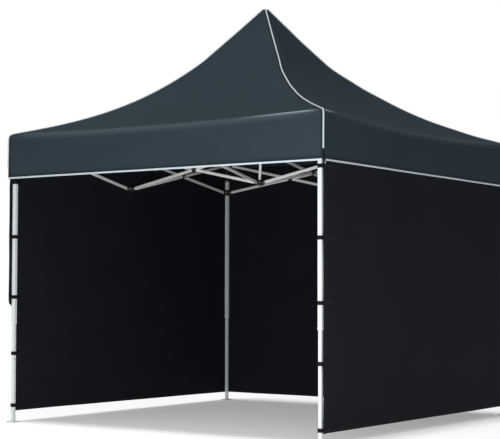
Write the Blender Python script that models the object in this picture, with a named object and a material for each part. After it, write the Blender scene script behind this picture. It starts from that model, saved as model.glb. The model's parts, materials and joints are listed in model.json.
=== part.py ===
# Pop-up canopy tent, 3 m by 3 m: a folding scissor frame on four telescoping legs, a peaked
# cover with a valance, and three side walls strapped to the front legs. The open front faces -Y.
# Metres, +Z up. The origin is on the ground at the tent's centre.

import math

import bmesh
import bpy
from mathutils import Vector

# Clearances
TOUCH_GAP = 0.0003
WELD = 0.002

# Plan of the frame
LEG_REACH = 1.46
CORNERS = {"front_left": 0, "front_right": 90, "back_right": 180, "back_left": 270}
FIRST_CORNER = 225
SIDES = {"front": 0, "right": 90, "back": 180, "left": 270}
NEIGHBOURS = {
    "front": ("left", "right"),
    "right": ("front", "back"),
    "back": ("right", "left"),
    "left": ("back", "front"),
}

# Legs: a square outer tube with a narrower one that slides inside it
OUTER_TUBE = 0.032
OUTER_BORE = 0.0272
OUTER_BOTTOM = 0.79
OUTER_TOP = 2.29
INNER_TUBE = 0.026
INNER_BORE = 0.023
INNER_TOP = 1.30
FOOT_PLATE = 0.084
FOOT_THICK = 0.004
PEG_HOLE = 0.010
PEG_INSET = 0.013

# Moulded joints that the bars are pinned to
SLEEVE = 0.044
SLEEVE_BORE = OUTER_TUBE + 2 * TOUCH_GAP
SLIDER_TALL = 0.056
BRACKET_BOTTOM = 2.108
JOINT_BLOCK = 0.034
JOINT_TALL = 0.040
HUB_BLOCK = 0.044
HUB_TALL = 0.044
LUG_THICK = 0.004
LUG_HIGH = 0.026
LEG_PIVOT = 0.045
MIDDLE_PIVOT = 0.040

# Heights of the pivots
LEG_HIGH = 2.260
LEG_LOW = 2.000
MIDDLE_PAIRS = {
    "front": (2.230, 1.977),
    "right": (2.247, 1.957),
    "back": (2.210, 1.957),
    "left": (2.240, 1.957),
}

# The hubs sit a little off the tent's centre, and the pole leans from there to the peak
HUB_PLACE = (-0.045, -0.020)
HUB_PAIR = (2.230, 1.957)

# Scissor bars
BAR_HIGH = 0.024
BAR_THICK = 0.010
BAR_OFFSET = LUG_THICK / 2 + TOUCH_GAP + BAR_THICK / 2
SPACER_RADIUS = 0.011
ARC_STEPS = 6

# Centre pole and its cap under the peak
POLE_RADIUS = 0.0115
POLE_BORE = 0.0175
CAP_NECK = 0.012
CAP_FLANGE = 0.034
CAP_FLANGE_TOP = 3.368
CAP_FLANGE_THICK = 0.006
CAP_TOP = 3.416
CAP_SLOPE = 0.020

# Cover: a peaked roof of four curved panels and a hanging valance
COVER_REACH = 1.5
PEAK_Z = 3.42
EAVE_Z = 2.31
KNEE = 0.25
PEAK_FALL = 1.86
HIP_FALL = 0.42
HIP_CURVE = 0.718
HIP_POWER = 2.7
ROOF_THICK = 0.005
PEAK_OPENING = 0.0146
EAVE_SAG = {"front": 0.025, "back": 0.025, "left": 0.045, "right": 0.045}
PANEL_ROWS = 14
PANEL_COLUMNS = 8
ROW_SPACING = 1.15
SHARP_ANGLE = 30
VALANCE_BOTTOM = 1.964
VALANCE_THICK = 0.003

# Side walls, joined at the back corners and tied to the front legs. Each front edge is given
# as (height, distance from the middle): its upper part reaches past the leg.
WALL_PLANE = 1.4865
WALL_THICK = 0.003
WALL_BOTTOM = 0.079
WALL_TOP = 2.232
WALL_FRONT = LEG_REACH - OUTER_TUBE / 2 - TOUCH_GAP
WALL_BACK = WALL_PLANE + WALL_THICK / 2
FRONT_EDGES = {
    "left": ((WALL_BOTTOM, WALL_FRONT), (0.92, WALL_FRONT), (0.97, 1.494), (WALL_TOP, 1.494)),
    "right": ((WALL_BOTTOM, WALL_FRONT), (1.67, WALL_FRONT), (1.72, 1.484), (WALL_TOP, 1.484)),
}
STRAP_HEIGHTS = {
    "left": (0.134, 0.55, 1.002, 1.487, 1.928),
    "right": (0.11, 0.55, 0.99, 1.46, 1.92),
}
STRAP_TALL = 0.025
STRAP_OUTER = 0.0362
STRAP_ON_OUTER = 0.0332
STRAP_ON_INNER = 0.0310
TAB_THICK = 0.003

ROUND_STEPS = 24


def clear_scene():
    for old in list(bpy.data.objects):
        bpy.data.objects.remove(old, do_unlink=True)


def make_material(name, colour, roughness, metallic=0.0):
    material = bpy.data.materials.new(name)
    material.use_nodes = True
    shader = material.node_tree.nodes["Principled BSDF"]
    shader.inputs["Base Color"].default_value = (*colour, 1.0)
    shader.inputs["Roughness"].default_value = roughness
    shader.inputs["Metallic"].default_value = metallic
    return material


def make_object(name, bm, material=None, at=(0, 0, 0), turn=0):
    bmesh.ops.recalc_face_normals(bm, faces=bm.faces)
    mesh = bpy.data.meshes.new(name)
    bm.to_mesh(mesh)
    bm.free()
    obj = bpy.data.objects.new(name, mesh)
    bpy.context.collection.objects.link(obj)
    obj.location = at
    obj.rotation_euler = (0, 0, math.radians(turn))
    if material:
        mesh.materials.append(material)
    return obj


# Joins a second shape to a piece, or cuts it out. The second shape stays as a wire guide.
def combine(host, bm, label, operation):
    guide = make_object(f"{host.name}_{label}", bm)
    guide.hide_render = True
    guide.display_type = "WIRE"
    guide.parent = host
    modifier = host.modifiers.new(label.title(), "BOOLEAN")
    modifier.operation = operation
    modifier.solver = "EXACT"
    modifier.object = guide


def add_box(bm, low, high):
    corners = [
        (x, y, z)
        for x in (low[0], high[0])
        for y in (low[1], high[1])
        for z in (low[2], high[2])
    ]
    verts = [bm.verts.new(corner) for corner in corners]
    for face in ((0, 1, 3, 2), (4, 6, 7, 5), (0, 4, 5, 1), (2, 3, 7, 6), (0, 2, 6, 4), (1, 5, 7, 3)):
        bm.faces.new([verts[i] for i in face])


def add_block(bm, width, bottom, top):
    half = width / 2
    add_box(bm, (-half, -half, bottom), (half, half, top))


# A square tube standing at `centre`, open at both ends
def add_square_tube(bm, centre, outer, bore, bottom, top):
    rings = []
    for width, z in ((outer, bottom), (outer, top), (bore, top), (bore, bottom)):
        half = width / 2
        corners = ((-half, -half), (half, -half), (half, half), (-half, half))
        rings.append([bm.verts.new((centre[0] + x, centre[1] + y, z)) for x, y in corners])
    for ring, following in zip(rings, rings[1:] + rings[:1]):
        for i in range(4):
            j = (i + 1) % 4
            bm.faces.new((ring[i], ring[j], following[j], following[i]))


# A flat plate: an outline in the XZ plane, given its thickness along Y
def add_plate(bm, outline, near, far):
    front = [bm.verts.new((x, near, z)) for x, z in outline]
    back = [bm.verts.new((x, far, z)) for x, z in outline]
    bm.faces.new(front)
    bm.faces.new(list(reversed(back)))
    for i, vert in enumerate(front):
        j = (i + 1) % len(front)
        bm.faces.new((vert, back[i], back[j], front[j]))


# Stadium outline round two pivots in the XZ plane
def bar_outline(start, end, radius):
    heading = math.atan2(end[1] - start[1], end[0] - start[0])
    outline = []
    for centre, first in ((end, heading - math.pi / 2), (start, heading + math.pi / 2)):
        for step in range(ARC_STEPS + 1):
            angle = first + math.pi * step / ARC_STEPS
            outline.append((centre[0] + radius * math.cos(angle), centre[1] + radius * math.sin(angle)))
    return outline


def add_cylinder(bm, radius, centre, low, high, axis):
    rings = []
    for along in (low, high):
        ring = []
        for step in range(ROUND_STEPS):
            angle = 2 * math.pi * step / ROUND_STEPS
            a = radius * math.cos(angle)
            b = radius * math.sin(angle)
            if axis == "Y":
                place = (centre[0] + a, along, centre[1] + b)
            else:
                place = (centre[0] + a, centre[1] + b, along)
            ring.append(bm.verts.new(place))
        rings.append(ring)
    bm.faces.new(rings[0])
    bm.faces.new(list(reversed(rings[1])))
    for i in range(ROUND_STEPS):
        j = (i + 1) % ROUND_STEPS
        bm.faces.new((rings[0][i], rings[1][i], rings[1][j], rings[0][j]))


# Lug plates that stand out from a joint's block towards the bars
def add_lugs(bm, turns, block, pivot, height):
    for turn in turns:
        start = (block / 2 - WELD, height)
        radius = LUG_HIGH / 2
        arc = bar_outline((0, height), (pivot, height), radius)[: ARC_STEPS + 1]
        outline = arc + [(start[0], height + radius), (start[0], height - radius)]
        first = len(bm.verts)
        add_plate(bm, outline, -LUG_THICK / 2, LUG_THICK / 2)
        bm.verts.ensure_lookup_table()
        angle = math.radians(turn)
        for vert in bm.verts[first:]:
            x, y, z = vert.co
            vert.co = (
                x * math.cos(angle) - y * math.sin(angle),
                x * math.sin(angle) + y * math.cos(angle),
                z,
            )


def corner_place(turn):
    angle = math.radians(turn + FIRST_CORNER)
    reach = LEG_REACH * math.sqrt(2)
    return (reach * math.cos(angle), reach * math.sin(angle), 0)


def side_place(turn, along=0.0):
    angle = math.radians(turn)
    x, y = along, -LEG_REACH
    return (
        x * math.cos(angle) - y * math.sin(angle),
        x * math.sin(angle) + y * math.cos(angle),
        0,
    )


# The way from a side's middle joint to the hub: its start, its direction in degrees, its length
def way_to_hub(turn):
    joint = side_place(turn)
    run_x = HUB_PLACE[0] - joint[0]
    run_y = HUB_PLACE[1] - joint[1]
    return joint, math.degrees(math.atan2(run_y, run_x)), math.hypot(run_x, run_y)


# Height of the roof's outer face: t runs from the peak to the eave, across from hip to hip
def roof_height(t, across, side):
    rise = 1 - t
    if t < KNEE:
        hip = PEAK_Z - PEAK_FALL * t
    else:
        hip = EAVE_Z + HIP_FALL * rise + HIP_CURVE * rise**HIP_POWER
    return hip - EAVE_SAG[side] * t**3 * (1 - across**2)


def build_outer_leg(corner, turn, material):
    bm = bmesh.new()
    add_square_tube(bm, (0, 0), OUTER_TUBE, OUTER_BORE, OUTER_BOTTOM, OUTER_TOP)
    make_object(f"outer_leg_{corner}", bm, material, corner_place(turn), turn)


# The sliding lower leg stands on a welded plate with two peg holes
def build_inner_leg(corner, turn, material):
    bm = bmesh.new()
    add_square_tube(bm, (0, 0), INNER_TUBE, INNER_BORE, FOOT_THICK / 2, INNER_TOP)
    leg = make_object(f"inner_leg_{corner}", bm, material, corner_place(turn), turn)
    plate = bmesh.new()
    add_block(plate, FOOT_PLATE, 0, FOOT_THICK)
    combine(leg, plate, "plate", "UNION")
    holes = bmesh.new()
    offset = FOOT_PLATE / 2 - PEG_INSET
    for x, y in ((offset, -offset), (-offset, offset)):
        add_cylinder(holes, PEG_HOLE / 2, (x, y), -FOOT_THICK, 2 * FOOT_THICK, "Z")
    combine(leg, holes, "holes", "DIFFERENCE")


# Cap on the leg's top, with a lug for each of its two trusses
def build_top_bracket(corner, turn, material):
    outer_edge = LEG_REACH + SLEEVE / 2
    inner_edge = LEG_REACH - SLEEVE / 2
    lowest_roof = roof_height(outer_edge / COVER_REACH, inner_edge / outer_edge, "right")
    top = lowest_roof - ROOF_THICK - TOUCH_GAP
    bm = bmesh.new()
    add_block(bm, SLEEVE, BRACKET_BOTTOM, top)
    bracket = make_object(f"top_bracket_{corner}", bm, material, corner_place(turn), turn)
    bore = bmesh.new()
    add_block(bore, SLEEVE_BORE, BRACKET_BOTTOM - SLEEVE, OUTER_TOP + TOUCH_GAP)
    combine(bracket, bore, "bore", "DIFFERENCE")
    lugs = bmesh.new()
    add_lugs(lugs, (0, 90), SLEEVE, LEG_PIVOT, LEG_HIGH)
    combine(bracket, lugs, "lugs", "UNION")


# Sleeve that slides on the leg when the frame is folded
def build_slider(corner, turn, material):
    bm = bmesh.new()
    half = SLIDER_TALL / 2
    add_square_tube(bm, (0, 0), SLEEVE, SLEEVE_BORE, LEG_LOW - half, LEG_LOW + half)
    slider = make_object(f"slider_{corner}", bm, material, corner_place(turn), turn)
    lugs = bmesh.new()
    add_lugs(lugs, (0, 90), SLEEVE, LEG_PIVOT, LEG_LOW)
    combine(slider, lugs, "lugs", "UNION")


# Block in the middle of a side, with lugs to both trusses and to the centre
def build_middle_joint(side, turn, level, height, material):
    bm = bmesh.new()
    add_block(bm, JOINT_BLOCK, height - JOINT_TALL / 2, height + JOINT_TALL / 2)
    joint = make_object(f"{side}_{level}_joint", bm, material, side_place(turn), turn)
    heading = way_to_hub(turn)[1]
    lugs = bmesh.new()
    add_lugs(lugs, (0, 180, heading - turn), JOINT_BLOCK, MIDDLE_PIVOT, height)
    combine(joint, lugs, "lugs", "UNION")


# Two crossed bars with the spacer that pins them together, along local +X
def build_scissor(name, place, turn, span, start_pair, end_pair, material):
    start_high, start_low = start_pair
    end_high, end_low = end_pair
    fall = (start_high - end_low) / span
    climb = (end_high - start_low) / span
    crossing = (start_high - start_low) / (fall + climb)
    pin = (crossing, start_low + climb * crossing)
    bm = bmesh.new()
    add_cylinder(bm, SPACER_RADIUS, pin, -BAR_OFFSET, BAR_OFFSET, "Y")
    scissor = make_object(name, bm, material, place, turn)
    bars = bmesh.new()
    for start, end, plane in (
        (start_high, end_low, BAR_OFFSET),
        (start_low, end_high, -BAR_OFFSET),
    ):
        outline = bar_outline((0, start), (span, end), BAR_HIGH / 2)
        add_plate(bars, outline, plane - BAR_THICK / 2, plane + BAR_THICK / 2)
    combine(scissor, bars, "bars", "UNION")


def build_side_trusses(side, turn, middle_pair, material):
    span = LEG_REACH - LEG_PIVOT - MIDDLE_PIVOT
    leg_pair = (LEG_HIGH, LEG_LOW)
    before, after = NEIGHBOURS[side]
    start = LEG_REACH - LEG_PIVOT
    build_scissor(
        f"{side}_scissor_{before}", side_place(turn, -start), turn, span, leg_pair, middle_pair, material
    )
    build_scissor(
        f"{side}_scissor_{after}", side_place(turn, start), turn + 180, span, leg_pair, middle_pair, material
    )


def build_inner_truss(side, turn, middle_pair, material):
    joint, heading, length = way_to_hub(turn)
    angle = math.radians(heading)
    place = (joint[0] + MIDDLE_PIVOT * math.cos(angle), joint[1] + MIDDLE_PIVOT * math.sin(angle), 0)
    span = length - 2 * MIDDLE_PIVOT
    build_scissor(f"inner_scissor_{side}", place, heading, span, middle_pair, HUB_PAIR, material)


def build_hubs(material):
    lug_turns = [way_to_hub(turn)[1] + 180 for turn in SIDES.values()]
    for level, height in zip(("upper", "lower"), HUB_PAIR):
        bm = bmesh.new()
        add_block(bm, HUB_BLOCK, height - HUB_TALL / 2, height + HUB_TALL / 2)
        hub = make_object(f"{level}_hub", bm, material, (*HUB_PLACE, 0))
        if level == "upper":
            bore = bmesh.new()
            add_cylinder(bore, POLE_BORE, (0, 0), height - HUB_TALL, height + HUB_TALL, "Z")
            combine(hub, bore, "bore", "DIFFERENCE")
        lugs = bmesh.new()
        add_lugs(lugs, lug_turns, HUB_BLOCK, MIDDLE_PIVOT, height)
        combine(hub, lugs, "lugs", "UNION")


# The pole stands on the lower hub, passes through the upper one and carries the peak on its
# flanged cap. Its mesh is measured down from the cap's top, where its origin is.
def build_pole(material):
    foot = HUB_PAIR[1] + HUB_TALL / 2 + TOUCH_GAP
    middle = (foot + HUB_PAIR[0]) / 2
    axis = Vector((-HUB_PLACE[0], -HUB_PLACE[1], CAP_TOP - middle))
    lean = axis.angle((0, 0, 1))
    length = (CAP_TOP - foot) / math.cos(lean) - POLE_RADIUS * math.tan(lean)
    flange_top = CAP_FLANGE_TOP - CAP_TOP
    flange_foot = flange_top - CAP_FLANGE_THICK
    profile = [
        (POLE_RADIUS, -length),
        (POLE_RADIUS, flange_foot - CAP_SLOPE),
        (CAP_FLANGE, flange_foot),
        (CAP_FLANGE, flange_top),
        (CAP_NECK, flange_top + CAP_FLANGE_THICK),
        (CAP_NECK, -CAP_NECK / 2),
        (CAP_NECK / 2, 0),
    ]
    bm = bmesh.new()
    rings = []
    for radius, z in profile:
        ring = []
        for step in range(ROUND_STEPS):
            angle = 2 * math.pi * step / ROUND_STEPS
            ring.append(bm.verts.new((radius * math.cos(angle), radius * math.sin(angle), z)))
        rings.append(ring)
    bm.faces.new(rings[0])
    bm.faces.new(rings[-1])
    for lower, upper in zip(rings, rings[1:]):
        for i in range(ROUND_STEPS):
            j = (i + 1) % ROUND_STEPS
            bm.faces.new((lower[i], lower[j], upper[j], upper[i]))
    pole = make_object("centre_pole", bm, material, (0, 0, CAP_TOP))
    pole.rotation_euler = axis.to_track_quat("Z", "Y").to_euler()
    pole.data.shade_smooth()
    pole.data.set_sharp_from_angle(angle=math.radians(SHARP_ANGLE))


# One curved panel from the peak to the eave, hanging between two hips
def build_roof_panel(side, turn, material):
    bm = bmesh.new()
    first = PEAK_OPENING / COVER_REACH
    layers = []
    for drop in (0, ROOF_THICK):
        rows = []
        for row in range(PANEL_ROWS + 1):
            t = first + (1 - first) * (row / PANEL_ROWS) ** ROW_SPACING
            half = COVER_REACH * t - TOUCH_GAP
            verts = []
            for column in range(PANEL_COLUMNS + 1):
                across = 2 * column / PANEL_COLUMNS - 1
                z = roof_height(t, across, side) - drop
                verts.append(bm.verts.new((half * across, -COVER_REACH * t, z)))
            rows.append(verts)
        layers.append(rows)
    add_sheet_faces(bm, layers)
    panel = make_object(f"roof_panel_{side}", bm, material, turn=turn)
    panel.data.shade_smooth()
    panel.data.set_sharp_from_angle(angle=math.radians(SHARP_ANGLE))


# Closes two matching grids of vertices into one thin solid
def add_sheet_faces(bm, layers):
    last_row = len(layers[0]) - 1
    last_column = len(layers[0][0]) - 1
    for rows in layers:
        for row in range(last_row):
            for column in range(last_column):
                bm.faces.new((
                    rows[row][column],
                    rows[row][column + 1],
                    rows[row + 1][column + 1],
                    rows[row + 1][column],
                ))
    near, far = layers
    for column in range(last_column):
        for row in (0, last_row):
            bm.faces.new((near[row][column], near[row][column + 1], far[row][column + 1], far[row][column]))
    for row in range(last_row):
        for column in (0, last_column):
            bm.faces.new((near[row][column], near[row + 1][column], far[row + 1][column], far[row][column]))


# The valance hangs from the eave, with mitred ends at the corners
def build_valance(side, turn, material):
    bm = bmesh.new()
    layers = []
    for depth in (0, VALANCE_THICK):
        reach = COVER_REACH - depth
        half = reach - TOUCH_GAP
        top_row = []
        bottom_row = []
        for column in range(PANEL_COLUMNS + 1):
            across = 2 * column / PANEL_COLUMNS - 1
            top = roof_height(1, across, side) - ROOF_THICK - TOUCH_GAP
            top_row.append(bm.verts.new((half * across, -reach, top)))
            bottom_row.append(bm.verts.new((half * across, -reach, VALANCE_BOTTOM)))
        layers.append([top_row, bottom_row])
    add_sheet_faces(bm, layers)
    make_object(f"valance_{side}", bm, material, turn=turn)


# A side wall with five straps round its front leg. It stands behind local -Y, like its side's
# truss, and `front` is the local X direction of its front edge.
def build_side_wall(side, turn, front, material):
    near = -WALL_PLANE - WALL_THICK / 2
    far = -WALL_PLANE + WALL_THICK / 2
    outline = [(front * reach, height) for height, reach in FRONT_EDGES[side]]
    outline += [(-front * WALL_BACK, WALL_TOP), (-front * WALL_BACK, WALL_BOTTOM)]
    bm = bmesh.new()
    add_plate(bm, outline, near, far)
    wall = make_object(f"{side}_wall", bm, material, turn=turn)
    straps = bmesh.new()
    tabs = bmesh.new()
    inboard = LEG_REACH - STRAP_ON_OUTER / 2
    reach = sorted((front * inboard, front * (inboard - TAB_THICK)))
    strap_face = -LEG_REACH - STRAP_ON_OUTER / 2
    for height in STRAP_HEIGHTS[side]:
        bottom = height - STRAP_TALL / 2
        top = bottom + STRAP_TALL
        bore = STRAP_ON_INNER if height < OUTER_BOTTOM else STRAP_ON_OUTER
        add_square_tube(straps, (front * LEG_REACH, -LEG_REACH), STRAP_OUTER, bore, bottom, top)
        add_box(tabs, (reach[0], -WALL_PLANE, bottom), (reach[1], strap_face, top))
    combine(wall, tabs, "tabs", "UNION")
    combine(wall, straps, "straps", "UNION")


# The back wall fits between the two side walls
def build_back_wall(material):
    near = WALL_PLANE - WALL_THICK / 2
    half = near - TOUCH_GAP
    bm = bmesh.new()
    add_box(bm, (-half, near, WALL_BOTTOM), (half, near + WALL_THICK, WALL_TOP))
    make_object("back_wall", bm, material)


def build_tent():
    white_steel = make_material("white_steel", (0.82, 0.84, 0.84), 0.35, 0.1)
    bar_steel = make_material("bar_steel", (0.66, 0.66, 0.66), 0.40, 0.3)
    black_plastic = make_material("black_plastic", (0.02, 0.02, 0.022), 0.45)
    roof_cloth = make_material("roof_cloth", (0.035, 0.048, 0.060), 0.75)
    wall_cloth = make_material("wall_cloth", (0.012, 0.013, 0.016), 0.80)

    for corner, turn in CORNERS.items():
        build_outer_leg(corner, turn, white_steel)
        build_inner_leg(corner, turn, white_steel)
        build_top_bracket(corner, turn, black_plastic)
        build_slider(corner, turn, black_plastic)

    for side, turn in SIDES.items():
        middle_pair = MIDDLE_PAIRS[side]
        build_middle_joint(side, turn, "upper", middle_pair[0], black_plastic)
        build_middle_joint(side, turn, "lower", middle_pair[1], black_plastic)
        build_side_trusses(side, turn, middle_pair, bar_steel)
        build_inner_truss(side, turn, middle_pair, bar_steel)
        build_roof_panel(side, turn, roof_cloth)
        build_valance(side, turn, roof_cloth)

    build_hubs(black_plastic)
    build_pole(bar_steel)
    build_side_wall("left", SIDES["left"], 1, wall_cloth)
    build_side_wall("right", SIDES["right"], -1, wall_cloth)
    build_back_wall(wall_cloth)


clear_scene()
build_tent()
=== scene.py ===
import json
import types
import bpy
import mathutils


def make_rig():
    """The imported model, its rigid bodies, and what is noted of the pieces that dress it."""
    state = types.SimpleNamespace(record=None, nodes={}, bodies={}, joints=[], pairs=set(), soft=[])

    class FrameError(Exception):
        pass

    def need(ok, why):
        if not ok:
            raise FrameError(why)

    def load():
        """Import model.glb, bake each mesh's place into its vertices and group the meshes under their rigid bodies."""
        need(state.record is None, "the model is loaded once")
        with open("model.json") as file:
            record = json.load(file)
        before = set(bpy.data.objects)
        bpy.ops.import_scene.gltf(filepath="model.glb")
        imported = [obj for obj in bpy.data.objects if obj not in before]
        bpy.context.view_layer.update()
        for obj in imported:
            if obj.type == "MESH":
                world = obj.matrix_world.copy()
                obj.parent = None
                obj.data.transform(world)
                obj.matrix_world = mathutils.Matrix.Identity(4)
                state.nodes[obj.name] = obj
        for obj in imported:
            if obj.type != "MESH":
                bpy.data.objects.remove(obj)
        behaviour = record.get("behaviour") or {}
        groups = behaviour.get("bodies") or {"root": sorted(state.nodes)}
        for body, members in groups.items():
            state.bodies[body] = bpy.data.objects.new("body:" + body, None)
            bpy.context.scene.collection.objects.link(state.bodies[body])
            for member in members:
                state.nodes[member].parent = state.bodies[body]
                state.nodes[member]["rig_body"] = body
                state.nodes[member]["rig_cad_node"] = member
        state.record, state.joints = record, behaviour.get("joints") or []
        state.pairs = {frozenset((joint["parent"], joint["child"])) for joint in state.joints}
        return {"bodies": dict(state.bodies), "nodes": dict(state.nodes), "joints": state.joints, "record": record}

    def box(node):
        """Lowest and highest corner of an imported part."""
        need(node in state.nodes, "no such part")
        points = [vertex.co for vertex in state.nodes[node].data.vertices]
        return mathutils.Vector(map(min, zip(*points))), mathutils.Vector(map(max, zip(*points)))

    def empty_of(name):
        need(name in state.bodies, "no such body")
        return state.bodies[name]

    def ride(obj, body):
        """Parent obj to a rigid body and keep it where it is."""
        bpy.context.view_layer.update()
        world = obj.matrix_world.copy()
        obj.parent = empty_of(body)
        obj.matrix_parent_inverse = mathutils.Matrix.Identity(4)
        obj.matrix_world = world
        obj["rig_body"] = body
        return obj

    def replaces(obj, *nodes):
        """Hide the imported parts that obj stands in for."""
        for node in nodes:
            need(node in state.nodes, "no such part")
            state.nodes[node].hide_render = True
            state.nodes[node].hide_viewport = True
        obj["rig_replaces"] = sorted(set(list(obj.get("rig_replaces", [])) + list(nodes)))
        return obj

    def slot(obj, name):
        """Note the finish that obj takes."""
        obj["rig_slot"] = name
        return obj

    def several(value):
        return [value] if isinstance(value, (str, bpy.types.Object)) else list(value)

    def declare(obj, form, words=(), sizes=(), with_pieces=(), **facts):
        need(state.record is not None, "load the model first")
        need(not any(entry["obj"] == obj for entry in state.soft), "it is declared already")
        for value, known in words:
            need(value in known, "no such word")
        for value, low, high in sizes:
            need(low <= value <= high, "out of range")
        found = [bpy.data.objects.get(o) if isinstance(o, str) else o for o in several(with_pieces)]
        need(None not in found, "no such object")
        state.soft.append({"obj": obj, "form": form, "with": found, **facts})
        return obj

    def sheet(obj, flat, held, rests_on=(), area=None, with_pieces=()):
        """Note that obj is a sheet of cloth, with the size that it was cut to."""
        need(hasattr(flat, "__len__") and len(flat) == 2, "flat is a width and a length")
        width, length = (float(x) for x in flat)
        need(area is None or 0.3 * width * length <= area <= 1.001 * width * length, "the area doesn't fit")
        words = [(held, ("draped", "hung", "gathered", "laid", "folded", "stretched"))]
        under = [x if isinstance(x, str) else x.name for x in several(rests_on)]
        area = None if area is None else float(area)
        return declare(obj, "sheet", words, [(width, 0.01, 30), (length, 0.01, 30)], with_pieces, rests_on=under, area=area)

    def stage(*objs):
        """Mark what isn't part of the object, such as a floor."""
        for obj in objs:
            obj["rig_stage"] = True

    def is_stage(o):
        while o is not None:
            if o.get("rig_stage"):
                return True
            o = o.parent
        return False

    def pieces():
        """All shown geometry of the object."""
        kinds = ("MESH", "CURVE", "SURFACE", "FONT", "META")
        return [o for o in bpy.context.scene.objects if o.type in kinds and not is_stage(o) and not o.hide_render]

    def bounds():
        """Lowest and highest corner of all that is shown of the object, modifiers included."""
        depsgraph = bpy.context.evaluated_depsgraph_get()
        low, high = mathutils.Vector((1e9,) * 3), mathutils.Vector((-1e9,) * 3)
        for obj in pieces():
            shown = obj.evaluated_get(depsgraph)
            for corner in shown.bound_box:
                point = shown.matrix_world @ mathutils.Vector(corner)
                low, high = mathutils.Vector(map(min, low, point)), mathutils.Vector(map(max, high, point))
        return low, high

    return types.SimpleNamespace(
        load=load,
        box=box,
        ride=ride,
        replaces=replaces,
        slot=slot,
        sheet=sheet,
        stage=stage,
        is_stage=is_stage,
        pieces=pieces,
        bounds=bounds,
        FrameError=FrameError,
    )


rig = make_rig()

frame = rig.load()

import json
import math

import bmesh
import bpy
from mathutils import Matrix, Vector, noise

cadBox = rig.bounds()
tentBody = "frame_and_cover"
up = Vector((0, 0, 1))

corners = {"front_left": (-1, -1), "front_right": (1, -1), "back_right": (1, 1), "back_left": (-1, 1)}
sides = {"front": 0, "right": 90, "back": 180, "left": 270}
sideEnds = {
    "front": ("left", "right"), "right": ("front", "back"),
    "back": ("right", "left"), "left": ("back", "front"),
}

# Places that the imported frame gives
legLow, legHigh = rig.box("outer_leg_front_right")
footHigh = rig.box("inner_leg_front_right")[1]
sliderLow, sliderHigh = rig.box("slider_front_right")
poleLow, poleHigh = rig.box("centre_pole")
wallLow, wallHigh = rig.box("back_wall")
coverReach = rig.box("valance_front")[1].x
legReach = (legLow.x + legHigh.x) / 2
tubeWidth = legHigh.x - legLow.x
sliderZ = (sliderLow.z + sliderHigh.z) / 2
print("frame read: legs at", round(legReach, 4), "cover reach", round(coverReach, 4))


# Small helpers

def turned(point, turn):
    return Matrix.Rotation(math.radians(turn), 4, "Z") @ Vector(point)


def smoothStep(value):
    value = min(max(value, 0.0), 1.0)
    return value * value * (3 - 2 * value)


def bell(value):
    return math.exp(-value * value)


# Reads a table of (place, value) pairs, with soft steps between them
def between(pairs, at):
    for (x0, y0), (x1, y1) in zip(pairs, pairs[1:]):
        if at <= x1:
            return y0 + (y1 - y0) * smoothStep((at - x0) / (x1 - x0))
    return pairs[-1][1]


def placed(name, data):
    obj = bpy.data.objects.new(name, data)
    bpy.context.scene.collection.objects.link(obj)
    return obj


def finish(obj, slotName, body=tentBody, replaced=(), sharp=32):
    mesh = obj.data
    mesh.shade_smooth()
    mesh.set_sharp_from_angle(angle=math.radians(sharp))
    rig.ride(obj, body)
    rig.slot(obj, slotName)
    if replaced:
        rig.replaces(obj, *replaced)
    return obj


def meshObject(name, bm, material, recalc=True):
    if recalc:
        bmesh.ops.recalc_face_normals(bm, faces=bm.faces)
    mesh = bpy.data.meshes.new(name)
    bm.to_mesh(mesh)
    bm.free()
    mesh.materials.append(material)
    return placed(name, mesh)


# Turns whatever modifiers or curve settings make of an object into a plain mesh
def toPlainMesh(obj, name, material):
    bpy.context.view_layer.update()
    graph = bpy.context.evaluated_depsgraph_get()
    mesh = bpy.data.meshes.new_from_object(obj.evaluated_get(graph), depsgraph=graph)
    mesh.transform(obj.matrix_world)
    bpy.data.objects.remove(obj)
    mesh.materials.clear()
    mesh.materials.append(material)
    mesh.name = name
    return placed(name, mesh)


# Gives a sheet its thickness, to both sides of it or to its inner one
def thickened(obj, thickness, offset, material):
    shell = obj.modifiers.new("cloth", "SOLIDIFY")
    shell.thickness = thickness
    shell.offset = offset
    return toPlainMesh(obj, obj.name, material)


# A piece of webbing, tape or binding, with UVs that run along it
def bandPiece(name, bm, material, slotName, sharp):
    obj = meshObject(name, bm, material)
    mesh = obj.data
    layer = mesh.uv_layers.new(name="cloth")
    for polygon in mesh.polygons:
        normal = polygon.normal
        for index in polygon.loop_indices:
            place = mesh.vertices[mesh.loops[index].vertex_index].co
            along = place.x if abs(normal.y) > abs(normal.x) else place.y
            layer.data[index].uv = (along, place.z)
    return finish(obj, slotName, sharp=sharp)


def roundEdges(bm, edges, bevel, steps=2):
    bmesh.ops.bevel(
        bm, geom=list(edges), offset=bevel, segments=steps, profile=0.5, affect="EDGES", clamp_overlap=True
    )


def addBlock(bm, centre, size, turn=0.0, bevel=0.0015, steps=2):
    spin = Matrix.Rotation(math.radians(turn), 4, "Z")
    matrix = Matrix.Translation(centre) @ spin @ Matrix.Diagonal((*size, 1))
    made = bmesh.ops.create_cube(bm, size=1, matrix=matrix)
    roundEdges(bm, {edge for vert in made["verts"] for edge in vert.link_edges}, bevel, steps)


def addRod(bm, start, end, radius, steps=16, bevel=0.0):
    start, end = Vector(start), Vector(end)
    along = end - start
    matrix = Matrix.Translation((start + end) / 2) @ along.to_track_quat("Z", "Y").to_matrix().to_4x4()
    made = bmesh.ops.create_cone(
        bm, cap_ends=True, segments=steps, radius1=radius, radius2=radius, depth=along.length, matrix=matrix
    )
    if bevel:
        edges = {edge for vert in made["verts"] for edge in vert.link_edges}
        roundEdges(bm, [e for e in edges if any(len(f.verts) > 4 for f in e.link_faces)], bevel)


def joinRings(bm, one, two):
    for i in range(len(one)):
        j = (i + 1) % len(one)
        bm.faces.new((one[i], one[j], two[j], two[i]))


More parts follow.
